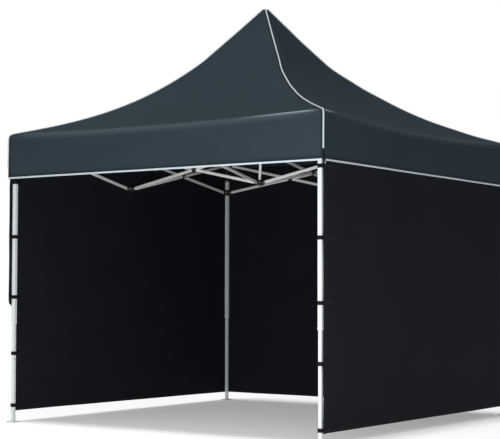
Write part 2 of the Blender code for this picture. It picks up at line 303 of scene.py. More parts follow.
# A plate cut to an outline in the plane of `along` and up, with its rim rounded
def addPlate(bm, outline, origin, along, near, far, bevel):
    side = up.cross(along)
    rings = []
    for depth in (near, far):
        rings.append([bm.verts.new(origin + along * a + side * depth + up * z) for a, z in outline])
    faces = [bm.faces.new(rings[0]), bm.faces.new(rings[1][::-1])]
    joinRings(bm, rings[1], rings[0])
    roundEdges(bm, {edge for face in faces for edge in face.edges}, bevel)


def stadium(start, end, radius, steps=8):
    heading = math.atan2(end[1] - start[1], end[0] - start[0])
    outline = []
    for centre, first in ((end, heading - math.pi / 2), (start, heading + math.pi / 2)):
        for step in range(steps + 1):
            angle = first + math.pi * step / steps
            outline.append((centre[0] + radius * math.cos(angle), centre[1] + radius * math.sin(angle)))
    return outline


def roundedRectangle(width, height, radius, steps=4):
    points = []
    for quarter, (sx, sy) in enumerate(((1, 1), (-1, 1), (-1, -1), (1, -1))):
        for step in range(steps + 1):
            angle = math.pi / 2 * (quarter + step / steps)
            x = sx * (width / 2 - radius) + radius * math.cos(angle)
            points.append((x, sy * (height / 2 - radius) + radius * math.sin(angle)))
    return points


# Skins a row of rings, closed on itself or with a face at each end
def skinRings(bm, places, closed=False):
    rings = [[bm.verts.new(place) for place in ring] for ring in places]
    for one, two in zip(rings, rings[1:]):
        joinRings(bm, one, two)
    if closed:
        joinRings(bm, rings[-1], rings[0])
    else:
        bm.faces.new(rings[0])
        bm.faces.new(rings[-1])


# Sweeps a closed section along frames of (origin, first axis, second axis)
def sweepSection(bm, frames, section, closed=False):
    skinRings(bm, [[o + a * p + b * q for p, q in section] for o, a, b in frames], closed)


# Frames for a sweep along a level path, with the first axis pointing to its right
def pathFrames(path, z, turn=0.0, closed=False):
    around = [path[-1], *path, path[0]] if closed else [path[0], *path, path[-1]]
    frames = []
    for before, (x, y), after in zip(around, path, around[2:]):
        run = Vector((after[0] - before[0], after[1] - before[1], 0)).normalized()
        frames.append((turned((x, y, z), turn), turned((run.y, -run.x, 0), turn), up))
    return frames


def addSpline(curve, points, cyclic=False):
    spline = curve.splines.new("POLY")
    spline.use_cyclic_u = cyclic
    spline.points.add(len(points) - 1)
    for target, point in zip(spline.points, points):
        target.co = (*point, 1)


# Fills rows of points with faces. flatPlace gives the place of a row and column on the flat cloth.
def addSheet(bm, layer, points, flatPlace, pointed=False):
    grid = [[bm.verts.new(point) for point in line] for line in points]
    for r in range(len(grid) - 1):
        for c in range(len(grid[0]) - 1):
            places = ((r, c), (r, c + 1), (r + 1, c + 1), (r + 1, c))
            if pointed and r == 0:
                places = ((0, c), (1, c + 1), (1, c))
            face = bm.faces.new([grid[i][j] for i, j in places])
            for loop, (i, j) in zip(face.loops, places):
                loop[layer].uv = flatPlace(i, j)
    return grid


# Node helpers. An input is given by its name or number, as a socket to link or as a value.

def fillInputs(tree, node, inputs):
    for key, value in inputs.items():
        if isinstance(value, bpy.types.NodeSocket):
            tree.links.new(value, node.inputs[key])
        else:
            node.inputs[key].default_value = value
    return node


def addNode(tree, kind, inputs, **settings):
    node = tree.nodes.new(kind)
    for key, value in settings.items():
        setattr(node, key, value)
    return fillInputs(tree, node, inputs)


def mathNode(tree, operation, first, second=0.5):
    return addNode(tree, "ShaderNodeMath", {0: first, 1: second}, operation=operation).outputs[0]


def noiseNode(tree, vector, scale, detail=3.0, roughness=0.5):
    inputs = {"Vector": vector, "Scale": scale, "Detail": detail, "Roughness": roughness}
    return addNode(tree, "ShaderNodeTexNoise", inputs).outputs["Fac"]


def mixNode(tree, amount, first, second):
    inputs = {"Factor": amount, "A": first, "B": second}
    return addNode(tree, "ShaderNodeMix", inputs, data_type="RGBA").outputs["Result"]


# A new input is given with its default value, or with its kind where it has none
def newGroup(treeKind, name, inputs, outputs):
    group = bpy.data.node_groups.new(name, treeKind)
    for socketName, value in inputs.items():
        kind = value if isinstance(value, str) else "Float" if isinstance(value, float) else "Color"
        socket = group.interface.new_socket(name=socketName, in_out="INPUT", socket_type="NodeSocket" + kind)
        if kind != value:
            socket.default_value = value
    for socketName, kind in outputs.items():
        group.interface.new_socket(name=socketName, in_out="OUTPUT", socket_type="NodeSocket" + kind)
    return group, group.nodes.new("NodeGroupInput").outputs, group.nodes.new("NodeGroupOutput")


surfaceOutputs = {"Color": "Color", "Height": "Float", "Roughness": "Float"}
weave = {
    "dentScale": 7.0, "shadeScale": 2.2, "shade": 0.85, "grainScale": 240.0, "grain": 0.3, "paler": 0.08,
    "seamShadeColour": (0.004, 0.005, 0.006, 1), "roughness": 0.56, "roughnessSpread": 0.12,
}


# Plain woven cloth: crossing threads, with slow changes of shade and soft dents, a painted highlight along creases and
# painted shade beside seams
def buildWeaveGroup():
    group, source, sink = newGroup("ShaderNodeTree", "wovenCloth", {
        "Vector": "Vector", "Threads": 900.0, "Thread Depth": 0.3, "Dents": 1.0, "Dark": (0, 0, 0, 1),
        "Light": (1, 1, 1, 1), "Crease Highlight": 0.0, "Highlight Colour": (0.2, 0.2, 0.2, 1), "Seam": 0.0,
    }, surfaceOutputs)
    vector = source["Vector"]
    split = addNode(group, "ShaderNodeSeparateXYZ", {0: vector})
    waves = []
    for axis in ("X", "Y"):
        turns = mathNode(group, "MULTIPLY", split.outputs[axis], source["Threads"])
        waves.append(mathNode(group, "SINE", mathNode(group, "MULTIPLY", turns, 2 * math.pi)))
    threads = mathNode(group, "MULTIPLY", mathNode(group, "MULTIPLY", *waves), source["Thread Depth"])
    dents = mathNode(group, "MULTIPLY", noiseNode(group, vector, weave["dentScale"], 3.0, 0.45), source["Dents"])
    shade = mathNode(group, "MULTIPLY", noiseNode(group, vector, weave["shadeScale"], 4.0, 0.6), weave["shade"])
    grain = mathNode(group, "MULTIPLY", noiseNode(group, vector, weave["grainScale"], 2.0, 0.7), weave["grain"])
    amount = mathNode(group, "SUBTRACT", mathNode(group, "ADD", shade, grain), weave["paler"])
    plain = mixNode(group, amount, source["Dark"], source["Light"])
    # Painted highlight: a pale colour is mixed in where the crease attribute marks the eave's bend
    paintedHighlight = mixNode(group, source["Crease Highlight"], plain, source["Highlight Colour"])
    rough = mathNode(group, "MULTIPLY", amount, weave["roughnessSpread"])
    # Painted shade: the seam attribute mixes the colour towards near-black beside the hips and over the hem
    fillInputs(group, sink, {
        "Color": mixNode(group, source["Seam"], paintedHighlight, weave["seamShadeColour"]),
        "Height": mathNode(group, "ADD", threads, dents),
        "Roughness": mathNode(group, "ADD", rough, weave["roughness"]),
    })
    return group


# A finish with a fine grain, faint marks and a little dirt in patches
def buildGrainGroup():
    group, source, sink = newGroup("ShaderNodeTree", "finishGrain", {
        "Vector": "Vector", "Grain Scale": 400.0, "Roughness Low": 0.3, "Roughness High": 0.5,
        "Base": (0.8, 0.8, 0.8, 1), "Worn": (0.5, 0.5, 0.5, 1), "Wear": 0.3,
    }, surfaceOutputs)
    vector = source["Vector"]
    patches = noiseNode(group, vector, 9.0, 5.0, 0.65)
    spread = addNode(group, "ShaderNodeMapRange", {"Value": patches, "From Min": 0.45, "From Max": 0.8})
    amount = mathNode(group, "MULTIPLY", spread.outputs["Result"], source["Wear"])
    rough = addNode(group, "ShaderNodeMapRange", {
        "Value": patches, "To Min": source["Roughness Low"], "To Max": source["Roughness High"],
    })
    fillInputs(group, sink, {
        "Color": mixNode(group, amount, source["Base"], source["Worn"]),
        "Height": noiseNode(group, vector, source["Grain Scale"], 2.0),
        "Roughness": rough.outputs["Result"],
    })
    return group


weaveGroup = buildWeaveGroup()
grainGroup = buildGrainGroup()


# `stored` names, for some of the group's sockets, a value that is stored on the mesh
def groupMaterial(name, group, coordinate, values, bump, shaderValues, stored={}):
    material = bpy.data.materials.new(name)
    material.use_nodes = True
    tree = material.node_tree
    place = addNode(tree, "ShaderNodeTexCoord", {})
    inputs = {"Vector": place.outputs[coordinate], **values}
    effect = addNode(tree, "ShaderNodeGroup", inputs, node_tree=group)
    for socketName, attribute in stored.items():
        reader = addNode(tree, "ShaderNodeAttribute", {}, attribute_name=attribute)
        fillInputs(tree, effect, {socketName: reader.outputs["Fac"]})
    inputs = {"Strength": bump[0], "Distance": bump[1], "Height": effect.outputs["Height"]}
    bumpNode = addNode(tree, "ShaderNodeBump", inputs)
    fillInputs(tree, tree.nodes["Principled BSDF"], {
        "Base Color": effect.outputs["Color"], "Roughness": effect.outputs["Roughness"],
        "Normal": bumpNode.outputs["Normal"], **shaderValues,
    })
    return material


def clothMaterial(name, dark, light, threads, dents, specular, paintedHighlight=None):
    values = {
        "Threads": threads, "Thread Depth": 0.25, "Dents": dents, "Dark": (*dark, 1), "Light": (*light, 1),
    }
    # The pale colour is a painted highlight on the eave's crease. The stored values place it, and the painted shade
    # beside the seams.
    if paintedHighlight:
        values["Highlight Colour"] = (*paintedHighlight, 1)
    stored = {"Crease Highlight": "crease", "Seam": "seam"} if paintedHighlight else {}
    shine = {"Specular IOR Level": specular}
    return groupMaterial(name, weaveGroup, "UV", values, (0.6, 0.0012), shine, stored)


def solidMaterial(name, base, worn, wear, low, high, grain, bump, metallic=0.0, coat=0.0):
    values = {
        "Grain Scale": grain, "Roughness Low": low, "Roughness High": high,
        "Base": (*base, 1), "Worn": (*worn, 1), "Wear": wear,
    }
    shaderValues = {"Metallic": metallic, "Coat Weight": coat}
    return groupMaterial(name, grainGroup, "Object", values, (bump, 0.0003), shaderValues)


# roofCloth's last colour is the painted highlight along the eave's bend
roofCloth = clothMaterial(
    "roofCloth", (0.0190, 0.0290, 0.0375), (0.0290, 0.0440, 0.0570), 620.0, 0.9, 0.02, (0.31, 0.36, 0.40)
)
wallCloth = clothMaterial("wallCloth", (0.0078, 0.0090, 0.0115), (0.0132, 0.0152, 0.0195), 620.0, 0.9, 0.02)
blackWebbing = clothMaterial("blackWebbing", (0.006, 0.006, 0.007), (0.014, 0.014, 0.016), 420.0, 0.2, 0.03)
whiteTape = clothMaterial("whiteTape", (0.42, 0.46, 0.50), (0.57, 0.62, 0.67), 420.0, 0.2, 0.03)
whiteSteel = solidMaterial(
    "whiteSteel", (0.58, 0.615, 0.635), (0.48, 0.51, 0.53), 0.25, 0.28, 0.46, 700.0, 0.12, 0.0, 0.2
)
greySteel = solidMaterial(
    "greySteel", (0.80, 0.81, 0.81), (0.60, 0.60, 0.59), 0.35, 0.30, 0.50, 600.0, 0.2, 0.05, 0.1
)
blackPlastic = solidMaterial(
    "blackPlastic", (0.012, 0.012, 0.013), (0.030, 0.030, 0.031), 0.5, 0.38, 0.58, 900.0, 0.25
)
zincSteel = solidMaterial("zincSteel", (0.55, 0.55, 0.56), (0.30, 0.29, 0.28), 0.5, 0.25, 0.45, 500.0, 0.1, 0.9)
print("materials built")


# The end of both Geometry Nodes trees: a copy of one shape on every point, made real and painted
def copyToPoints(tree, sink, points, rotation, shape, material):
    inputs = {"Points": points.outputs["Points"], "Rotation": rotation, "Instance": shape.outputs["Mesh"]}
    copies = addNode(tree, "GeometryNodeInstanceOnPoints", inputs)
    real = addNode(tree, "GeometryNodeRealizeInstances", {"Geometry": copies.outputs["Instances"]})
    inputs = {"Geometry": real.outputs["Geometry"], "Material": material}
    paint = addNode(tree, "GeometryNodeSetMaterial", inputs)
    fillInputs(tree, sink, {"Geometry": paint.outputs["Geometry"]})
    tree.is_modifier = True
    return tree


# Short stitches along every line of the input mesh
def buildStitchTree():
    tree, source, sink = newGroup("GeometryNodeTree", "stitchRow", {
        "Geometry": "Geometry", "Spacing": 0.009, "Stitch Length": 0.006, "Thread Radius": 0.0006,
        "Thread": "Material",
    }, {"Geometry": "Geometry"})
    curve = addNode(tree, "GeometryNodeMeshToCurve", {"Mesh": source["Geometry"]})
    inputs = {"Curve": curve.outputs["Curve"], "Length": source["Spacing"]}
    points = addNode(tree, "GeometryNodeCurveToPoints", inputs, mode="LENGTH")
    inputs = {"Vertices": 5, "Depth": source["Stitch Length"], "Radius": source["Thread Radius"]}
    stitch = addNode(tree, "GeometryNodeMeshCylinder", inputs)
    return copyToPoints(tree, sink, points, points.outputs["Rotation"], stitch, source["Thread"])


# A domed rivet head on every point of the input mesh, turned to the direction stored there
def buildRivetTree():
    tree, source, sink = newGroup("GeometryNodeTree", "rivets", {
        "Geometry": "Geometry", "Head Radius": 0.006, "Head Height": 0.003, "Metal": "Material",
    }, {"Geometry": "Geometry"})
    points = addNode(tree, "GeometryNodeMeshToPoints", {"Mesh": source["Geometry"]}, mode="VERTICES")
    axis = addNode(tree, "GeometryNodeInputNamedAttribute", {"Name": "pinAxis"}, data_type="FLOAT_VECTOR")
    inputs = {"Vector": axis.outputs["Attribute"]}
    aim = addNode(tree, "FunctionNodeAlignRotationToVector", inputs, axis="Z")
    head = addNode(tree, "GeometryNodeMeshCone", {
        "Vertices": 14, "Side Segments": 2, "Radius Bottom": source["Head Radius"],
        "Radius Top": mathNode(tree, "MULTIPLY", source["Head Radius"], 0.62), "Depth": source["Head Height"],
    })
    return copyToPoints(tree, sink, points, aim.outputs["Rotation"], head, source["Metal"])


stitchTree = buildStitchTree()
rivetTree = buildRivetTree()


def runNodes(name, mesh, tree, values, material):
    obj = placed(name + "_guide", mesh)
    modifier = obj.modifiers.new("nodes", "NODES")
    modifier.node_group = tree
    identifiers = {item.name: item.identifier for item in tree.interface.items_tree if item.in_out == "INPUT"}
    for socketName, value in values.items():
        modifier[identifiers[socketName]] = value
    return toPlainMesh(obj, name, material)


def stitchLines(name, lines, settings, material, slotName, body=tentBody):
    verts, edges = [], []
    for line in lines:
        first = len(verts)
        verts.extend(line)
        edges.extend((first + i, first + i + 1) for i in range(len(line) - 1))
    mesh = bpy.data.meshes.new(name)
    mesh.from_pydata([tuple(v) for v in verts], edges, [])
    obj = runNodes(name, mesh, stitchTree, {**settings, "Thread": material}, material)
    return finish(obj, slotName, body, sharp=50)


def rivetHeads(name, pins, settings, material, slotName, body=tentBody):
    mesh = bpy.data.meshes.new(name)
    mesh.from_pydata([tuple(point) for point, axis in pins], [], [])
    attribute = mesh.attributes.new("pinAxis", "FLOAT_VECTOR", "POINT")
    for i, (point, axis) in enumerate(pins):
        attribute.data[i].vector = axis
    obj = runNodes(name, mesh, rivetTree, {**settings, "Metal": material}, material)
    return finish(obj, slotName, body, sharp=40)


# The cover: one sewn sheet over the peak, round the eave and down the valance

cover = {
    "peakZ": 3.4205, "eaveZ": 2.3105, "knee": 0.25, "peakFall": 1.86, "hipFall": 0.42, "hipCurve": 0.718,
    "hipPower": 2.7, "sag": {"front": 0.024, "back": 0.026, "left": 0.046, "right": 0.050},
    "bendStart": 0.982, "bendRadius": 0.030, "hemZ": 1.965, "hemFlare": 0.0015, "cloth": 0.0014,
    "columns": 96, "roofRows": 64, "rowSpread": 1.12, "bendRows": 6, "valanceRows": 16,
    "billow": 0.012, "peakFolds": 0.0022, "peakFade": 0.22, "peakWaves": 13, "dents": 0.004,
    "cornerFolds": 0.0030, "cornerLength": 0.085, "cornerFade": 0.13, "valanceWave": 0.0050,
    "peakShift": (-0.0065, -0.0046), "peakRaise": 0.007, "peakFlat": 0.007,
    "hipBow": {
        "front_left": ((0.0, 0.0), (0.5, -0.006), (1.0, 0.0)),
        "front_right": ((0.0, 0.0), (0.5, 0.004), (1.0, 0.0)),
        "back_right": (
            (0.0, 0.0), (0.08, -0.004), (0.15, -0.011), (0.25, -0.010), (0.37, 0.006), (0.47, 0.015),
            (0.75, 0.010), (0.88, 0.002), (1.0, 0.0),
        ),
        "back_left": ((0.0, 0.0), (0.5, 0.004), (1.0, 0.0)),
    },
    "nearHipBend": (
        (0.0, -0.003), (0.25, -0.004), (0.38, -0.018), (0.50, -0.014), (0.60, -0.006), (0.67, 0.0),
        (0.76, 0.012), (0.87, 0.018), (1.0, 0.011),
    ),
    "eaveLift": {"front_left": 0.0, "front_right": 0.008, "back_right": -0.003, "back_left": 0.0},
    "hemDrop": {"front_left": 0.008, "front_right": 0.007, "back_right": 0.018, "back_left": 0.010},
    "creaseHighlightWidth": 0.013, "creaseHighlightStrong": {"front": 0.75, "right": 1.0, "back": 0.5, "left": 0.5},
    "creaseHighlightReach": {"front": (0.16, 0.56), "right": (0.03, 0.14), "back": (0.1, 0.3), "left": (0.1, 0.3)},
    "creaseHighlightSoft": {"front": 0.09, "right": 0.06, "back": 0.04, "left": 0.04},
    "seamShadeWidth": 0.016, "seamShadeDark": 0.8, "hemShadeDark": 0.6, "streakDepth": 0.011, "streakWidth": 0.017,
    "streaks": (("right", 0.060, 0.10, 0.34), ("right", 0.105, 0.13, 0.40), ("left", 0.080, 0.12, 0.36)),
}


def hipHeight(t):
    lift = cover["peakRaise"] * bell(t / 0.07)
    t = max(t, cover["peakFlat"])
    rise = 1 - t
    if t < cover["knee"]:
        return cover["peakZ"] - cover["peakFall"] * t + lift
    return cover["eaveZ"] + cover["hipFall"] * rise + cover["hipCurve"] * rise ** cover["hipPower"] + lift


# Rows from the peak to the hem, as (reach, height, share of the eave's sag, distance along the cloth)
def coverRows():
    rows = []
    for i in range(cover["roofRows"] + 1):
        t = cover["bendStart"] * (i / cover["roofRows"]) ** cover["rowSpread"]
        rows.append([coverReach * t, hipHeight(t), t ** 3])
    start = Vector((rows[-1][0], rows[-1][1]))
    turn = Vector((coverReach - 0.0005, cover["eaveZ"] + 0.001))
    end = Vector((coverReach, cover["eaveZ"] - cover["bendRadius"]))
    for i in range(1, cover["bendRows"] + 1):
        q = i / cover["bendRows"]
        point = start * (1 - q) ** 2 + turn * 2 * q * (1 - q) + end * q ** 2
        rows.append([point.x, point.y, 1.0])
    for i in range(1, cover["valanceRows"] + 1):
        q = i / cover["valanceRows"]
        rows.append([coverReach + cover["hemFlare"] * q, end.y + (cover["hemZ"] - end.y) * q, 1 - q])
    travelled = 0.0
    for before, row in zip([rows[0]] + rows, rows):
        travelled += math.hypot(row[0] - before[0], row[1] - before[1])
        row.append(travelled)
    return rows


coverLines = coverRows()
bendRow = cover["roofRows"] + cover["bendRows"]
hemRow = len(coverLines) - 1


# How far a point of the cover stands out from the even shape
def foldDepth(side, row, across):
    reach, height, share, travelled = coverLines[row]
    seed = sides[side] * 0.37
    if row > cover["roofRows"]:
        down = (row - cover["roofRows"]) / (hemRow - cover["roofRows"])
        wave = noise.noise(Vector((across * 4.5 + seed, down * 0.8, 3 + seed)))
        wave += 0.4 * noise.noise(Vector((across * 12 + seed, down * 1.5, 7 + seed)))
        return cover["valanceWave"] * wave * smoothStep((1 - abs(across)) / 0.12) * (0.35 + 0.65 * down)
    t = min(reach / coverReach, 1)
    nearHip = (1 - abs(across)) * reach
    folds = math.exp(-t / cover["peakFade"]) * math.sin(cover["peakWaves"] * across + seed)
    dents = noise.noise(Vector((across * 3 + seed, t * 4, seed))) * smoothStep(t / 0.2)
    depth = cover["peakFolds"] * folds * smoothStep(t / 0.05) + cover["dents"] * dents
    depth = (depth - cover["billow"] * math.sin(math.pi * t)) * (1 - across ** 2)
    ripple = math.sin(2 * math.pi * nearHip / cover["cornerLength"] + seed)
    ripple *= math.exp(-nearHip / cover["cornerFade"]) * smoothStep(nearHip / 0.03)
    depth += cover["cornerFolds"] * ripple * smoothStep((t - 0.45) / 0.4) * (1 - share ** 4)
    for streakSide, distance, first, last in cover["streaks"]:
        if side == streakSide and across < 0:
            window = smoothStep((t - first) / 0.06) * smoothStep((last - t) / 0.10)
            depth += cover["streakDepth"] * window * bell((nearHip - distance) / cover["streakWidth"])
    return depth


# Value between the four corners' values, at a place in the plan given in shares of the reach
def cornerBlend(values, x, y):
    return sum(values[corner] * (1 + sx * x) * (1 + sy * y) / 4 for corner, (sx, sy) in corners.items())


# What sets the real cover apart from an even pyramid: its peak leans over with the pole, its near
# hip's seam bends, its ridges bow and its corners hang at different heights
def coverDrift(point, row):
    t = min(coverLines[row][0] / coverReach, 1.0)
    size = max(abs(point.x), abs(point.y), 0.0001 * coverReach)
    x, y = max(min(point.x / size, 1), -1), max(min(point.y / size, 1), -1)
    down = max((row - bendRow) / (hemRow - bendRow), 0.0)
    bow = cornerBlend({corner: between(table, t) for corner, table in cover["hipBow"].items()}, x, y)
    lift = cornerBlend(cover["eaveLift"], x, y) * t ** 3
    drop = cornerBlend(cover["hemDrop"], x, y) * down
    bend = between(cover["nearHipBend"], t) * smoothStep(((x - y) / 2 - 0.55) / 0.45) * (1 - 0.3 * down)
    inward = bend * (1 - smoothStep((t - 0.8) / 0.15))
    drift = Vector((*cover["peakShift"], 0)) * (1 - t) ** 2
    return drift + Vector((bend * 0.82, inward * 0.57, bow + lift - drop))


def coverPoint(side, row, column):
    across = 2 * column / cover["columns"] - 1
    reach, height, share, travelled = coverLines[row]
    drop = cover["sag"][side] * share * (1 - across ** 2) ** 1.3
    following = coverLines[min(row + 1, hemRow)]
    previous = coverLines[max(row - 1, 0)]
    slope = Vector((0, previous[0] - following[0], following[1] - previous[1])).normalized()
    outward = Vector((0, slope.z, -slope.y))
    point = Vector((across * reach, -reach, height - drop)) + outward * foldDepth(side, row, across)
    point = turned(point, sides[side])
    return point + coverDrift(point, row)


# How much painted highlight the cloth gets where light catches the eave's bend: most near each side's right or left
# end
def creaseHighlightAmount(side, row, across):
    away = (coverLines[row][3] - coverLines[cover["roofRows"] + 1][3]) / cover["creaseHighlightWidth"]
    nearEnd = (1 - across if side == "front" else 1 + across) * coverReach
    first, last = cover["creaseHighlightReach"][side]
    strong = math.exp(-(nearEnd / last) ** 4) * smoothStep(nearEnd / first)
    faint = cover["creaseHighlightSoft"][side] * smoothStep((1 - abs(across)) / 0.2)
    return cover["creaseHighlightStrong"][side] * strong * bell(away) + faint * bell(away / 3)


# Painted shade: a dark band on the cloth beside the hips and over the hem's tape
def seamShadeAmount(row, across):
    reach, height, share, travelled = coverLines[row]
    beside = bell((1 - abs(across)) * reach / cover["seamShadeWidth"])
    above = bell((coverLines[hemRow][3] - travelled - 0.018) / 0.012)
    return cover["seamShadeDark"] * max(beside, cover["hemShadeDark"] * above)


def buildCover():
    bm = bmesh.new()
    layer = bm.loops.layers.uv.new("cloth")
    crease = bm.verts.layers.float.new("crease")
    seam = bm.verts.layers.float.new("seam")
    shares = [2 * column / cover["columns"] - 1 for column in range(cover["columns"] + 1)]
    for side in sides:
        points = [[coverPoint(side, row, column) for column in range(len(shares))] for row in range(hemRow + 1)]
        grid = addSheet(
            bm, layer, points, lambda r, c: (shares[c] * coverLines[r][0], coverLines[r][3]), pointed=True
        )
        for row, line in enumerate(grid):
            for vert, across in zip(line, shares):
                # crease holds the painted highlight along the eave, and seam holds the painted shade beside the hips
                # and over the hem
                vert[crease] = creaseHighlightAmount(side, row, across)
                vert[seam] = seamShadeAmount(row, across)
    bmesh.ops.remove_doubles(bm, verts=bm.verts, dist=0.00005)
    obj = meshObject("canopy_cover", bm, roofCloth)
    if obj.data.polygons[0].normal.z < 0:
        obj.data.flip_normals()
    piece = thickened(obj, cover["cloth"], -1, roofCloth)
    replaced = [f"roof_panel_{side}" for side in sides] + [f"valance_{side}" for side in sides]
    return finish(piece, "roof_cloth", replaced=replaced, sharp=50)


canopyCover = buildCover()
print("cover built:", len(canopyCover.data.polygons), "faces")


# White piping on the four hips, white tape round the hem and black tabs at the corners

seams = {
    "pipingRadius": 0.0058, "pipingProud": 0.35, "pipingEndZ": 2.030, "tapeHeight": 0.013,
    "tapeThick": 0.0036, "tapeSteps": 96,
    "tapeGaps": {
        "front": (0.002, 0.012), "right": (0.035, 0.010), "back": (0.012, 0.012), "left": (0.012, 0.012),
    },
    "looseEnd": 0.028, "tabTop": 2.080, "tabTall": 0.030, "tabThick": 0.0022,
}


def hipLine(side):
    line = []
    for row in range(hemRow + 1):
        point = coverPoint(side, row, cover["columns"])
        if point.z < seams["pipingEndZ"]:
            break
        outward = Vector((point.x, point.y, 0)).normalized()
        lift = up if row < cover["roofRows"] else outward
        if cover["roofRows"] <= row <= bendRow:
            lift = (outward + up).normalized()
        line.append(point + lift * seams["pipingRadius"] * seams["pipingProud"])
    return line


def buildPiping():
    curve = bpy.data.curves.new("hip_piping", "CURVE")
    curve.dimensions = "3D"
    curve.bevel_depth = seams["pipingRadius"]
    curve.bevel_resolution = 3
    curve.use_fill_caps = True
    for side in sides:
        addSpline(curve, hipLine(side)[1:])
    piece = toPlainMesh(placed("hip_piping", curve), "hip_piping", whiteTape)
    return finish(piece, "roof_cloth", sharp=60)


# Points along a side's hem, between the gaps that its tape leaves at the corners
def hemLine(side, lift, outward):
    startGap, endGap = seams["tapeGaps"][side]
    first = startGap / (2 * coverReach)
    last = 1 - endGap / (2 * coverReach)
    facing = turned((0, -outward, lift), sides[side])
    steps = seams["tapeSteps"]
    columns = [cover["columns"] * (first + (last - first) * i / steps) for i in range(steps + 1)]
    return [coverPoint(side, hemRow, column) + facing for column in columns]


def buildHemTape():
    section = roundedRectangle(seams["tapeThick"], seams["tapeHeight"], 0.0015, 3)
    bm = bmesh.new()
    for side, turn in sides.items():
        outward = turned((0, -1, 0), turn)
        points = hemLine(side, seams["tapeHeight"] / 2 - 0.002, -cover["cloth"] / 2)
        sweepSection(bm, [(point, outward, up) for point in points], section)
    # The tape's loose end at one corner curls down
    start = hemLine("right", 0.004, 0.001)[0]
    outward, along = turned((0, -1, 0), sides["right"]), turned((1, 0, 0), sides["right"])
    frames = []
    for i in range(9):
        q = i / 8
        angle = math.pi / 2 * min(1, 1.3 * q)
        across = (up * math.cos(angle) + along * math.sin(angle)).normalized()
        place = start - along * 0.011 * math.sin(math.pi / 2 * q) - up * seams["looseEnd"] * q ** 1.5
        frames.append((place + outward * 0.001 * q, outward, across))
    sweepSection(bm, frames, roundedRectangle(0.0018, 0.008, 0.0007, 2))
    return bandPiece("hem_tape", bm, whiteTape, "roof_cloth", 50)


# Hook-and-loop tabs that hold the inside of the cover's corners to the legs
def buildCornerTabs():
    bm = bmesh.new()
    inner = legReach + tubeWidth / 2 - 0.001
    outer = coverReach - cover["cloth"] - 0.001
    middle = (inner + outer) / 2
    size = ((outer - inner) * math.sqrt(2), seams["tabThick"], seams["tabTall"])
    for sx, sy in corners.values():
        centre = (sx * middle, sy * middle, seams["tabTop"] - seams["tabTall"] / 2)
        addBlock(bm, centre, size, math.degrees(math.atan2(sy, sx)), 0.0007)
    return bandPiece("corner_tabs", bm, blackWebbing, "roof_cloth", 40)


hipPiping = buildPiping()
hemTape = buildHemTape()
cornerTabs = buildCornerTabs()


def buildCoverStitches():
    whiteRows, blackRows = [], []
    outer = (seams["tapeThick"] - cover["cloth"]) / 2 + 0.0003
    for side, turn in sides.items():
        for height in (0.0018, 0.0085):
            whiteRows.append(hemLine(side, height, outer))
        for columnStep in (-1, 1):
            line = []
            for row in range(3, bendRow):
                reach = coverLines[row][0]
                column = cover["columns"] * (1 + columnStep * max(1 - 0.014 / reach, 0)) / 2
                point = coverPoint(side, row, column)
                line.append(point + Vector((0, 0, 0.0007)))
            blackRows.append(line)
        eave = []
        for column in range(2, cover["columns"] - 1, 2):
            point = coverPoint(side, bendRow + 1, column)
            eave.append(point + turned((0, -0.0006, 0), turn))
        blackRows.append(eave)
    settings = {"Spacing": 0.0085, "Stitch Length": 0.0058, "Thread Radius": 0.00055}
    white = stitchLines("hem_stitches", whiteRows, settings, whiteTape, "roof_cloth")
    black = stitchLines("seam_stitches", blackRows, settings, blackWebbing, "roof_cloth")
    return white, black


coverStitches = buildCoverStitches()
print("seams built")

# Side walls: sheets with soft folds, pulled in between the straps at their front edges. Each
# front edge is given as (height, distance from the middle).

walls = {
    "plane": 1.4865, "bottomZ": wallLow.z, "topZ": wallHigh.z, "cornerReach": 1.4868,
    "cloth": 0.0012, "columns": 120, "rows": 96, "fold": 0.0055, "tape": 0.020, "tapeThick": 0.0030,
    "scallop": {"left": 0.0025, "right": 0.004},
    "straps": {"left": (0.134, 0.55, 1.002, 1.487, 1.928), "right": (0.10, 0.557, 0.977, 1.43, 1.93)},
    "hemLift": {"left": (-0.006, 0.010), "back": (-0.004, -0.007), "right": (0.000, 0.006)},
    "frontEdges": {
        "left": ((0.0, 1.4430), (0.905, 1.4430), (0.965, 1.4975), (1.90, 1.4985), (1.95, 1.4940), (3.0, 1.4940)),
        "right": ((0.0, 1.4680), (0.76, 1.4670), (0.83, 1.4600), (1.15, 1.4590), (1.45, 1.4660), (3.0, 1.4700)),
    },
}
wallTall = walls["topZ"] - walls["bottomZ"]
frontSigns = {"left": 1, "right": -1}


def frontEdge(side, height):
    nearest = min(abs(height - z) for z in walls["straps"][side])
    deep = walls["scallop"][side] if height < walls["straps"][side][-1] else 0
    ripple = 0.0010 * noise.noise(Vector((height * 5.0, frontSigns[side] * 3.0, 1.0)))
    return between(walls["frontEdges"][side], height) - deep * smoothStep(nearest / 0.15) + ripple


def wallEnds(side, height):
    if side == "back":
        return -walls["cornerReach"], walls["cornerReach"]
    sign = frontSigns[side]
    ends = (sign * frontEdge(side, height), -sign * walls["cornerReach"])
    return min(ends), max(ends)


def wallFold(side, along, height, ends):
    seed = sides[side] * 0.21 + 2
    soft = noise.noise(Vector((along * 1.3 + seed, height * 0.55, seed)))
    fine = noise.noise(Vector((along * 4.2 + seed, height * 1.1, seed + 5)))
    rise = (height - walls["bottomZ"]) / wallTall
    inside = min(along - ends[0], ends[1] - along)
    edge = smoothStep(inside / 0.25)
    top = 1 - smoothStep((rise - 0.86) / 0.1)
    fold = (soft + 0.35 * fine) * edge * (0.5 + 0.5 * top)
    if side in frontSigns:
        reach = abs(ends[0] if frontSigns[side] < 0 else ends[1]) - along * frontSigns[side]
        for strap in walls["straps"][side]:
            away = math.hypot(reach / 0.30, (height - strap) / 0.085)
            fold += 0.5 * bell(away) * math.sin((height - strap) * 95) * smoothStep(reach / 0.03)
    return walls["fold"] * fold


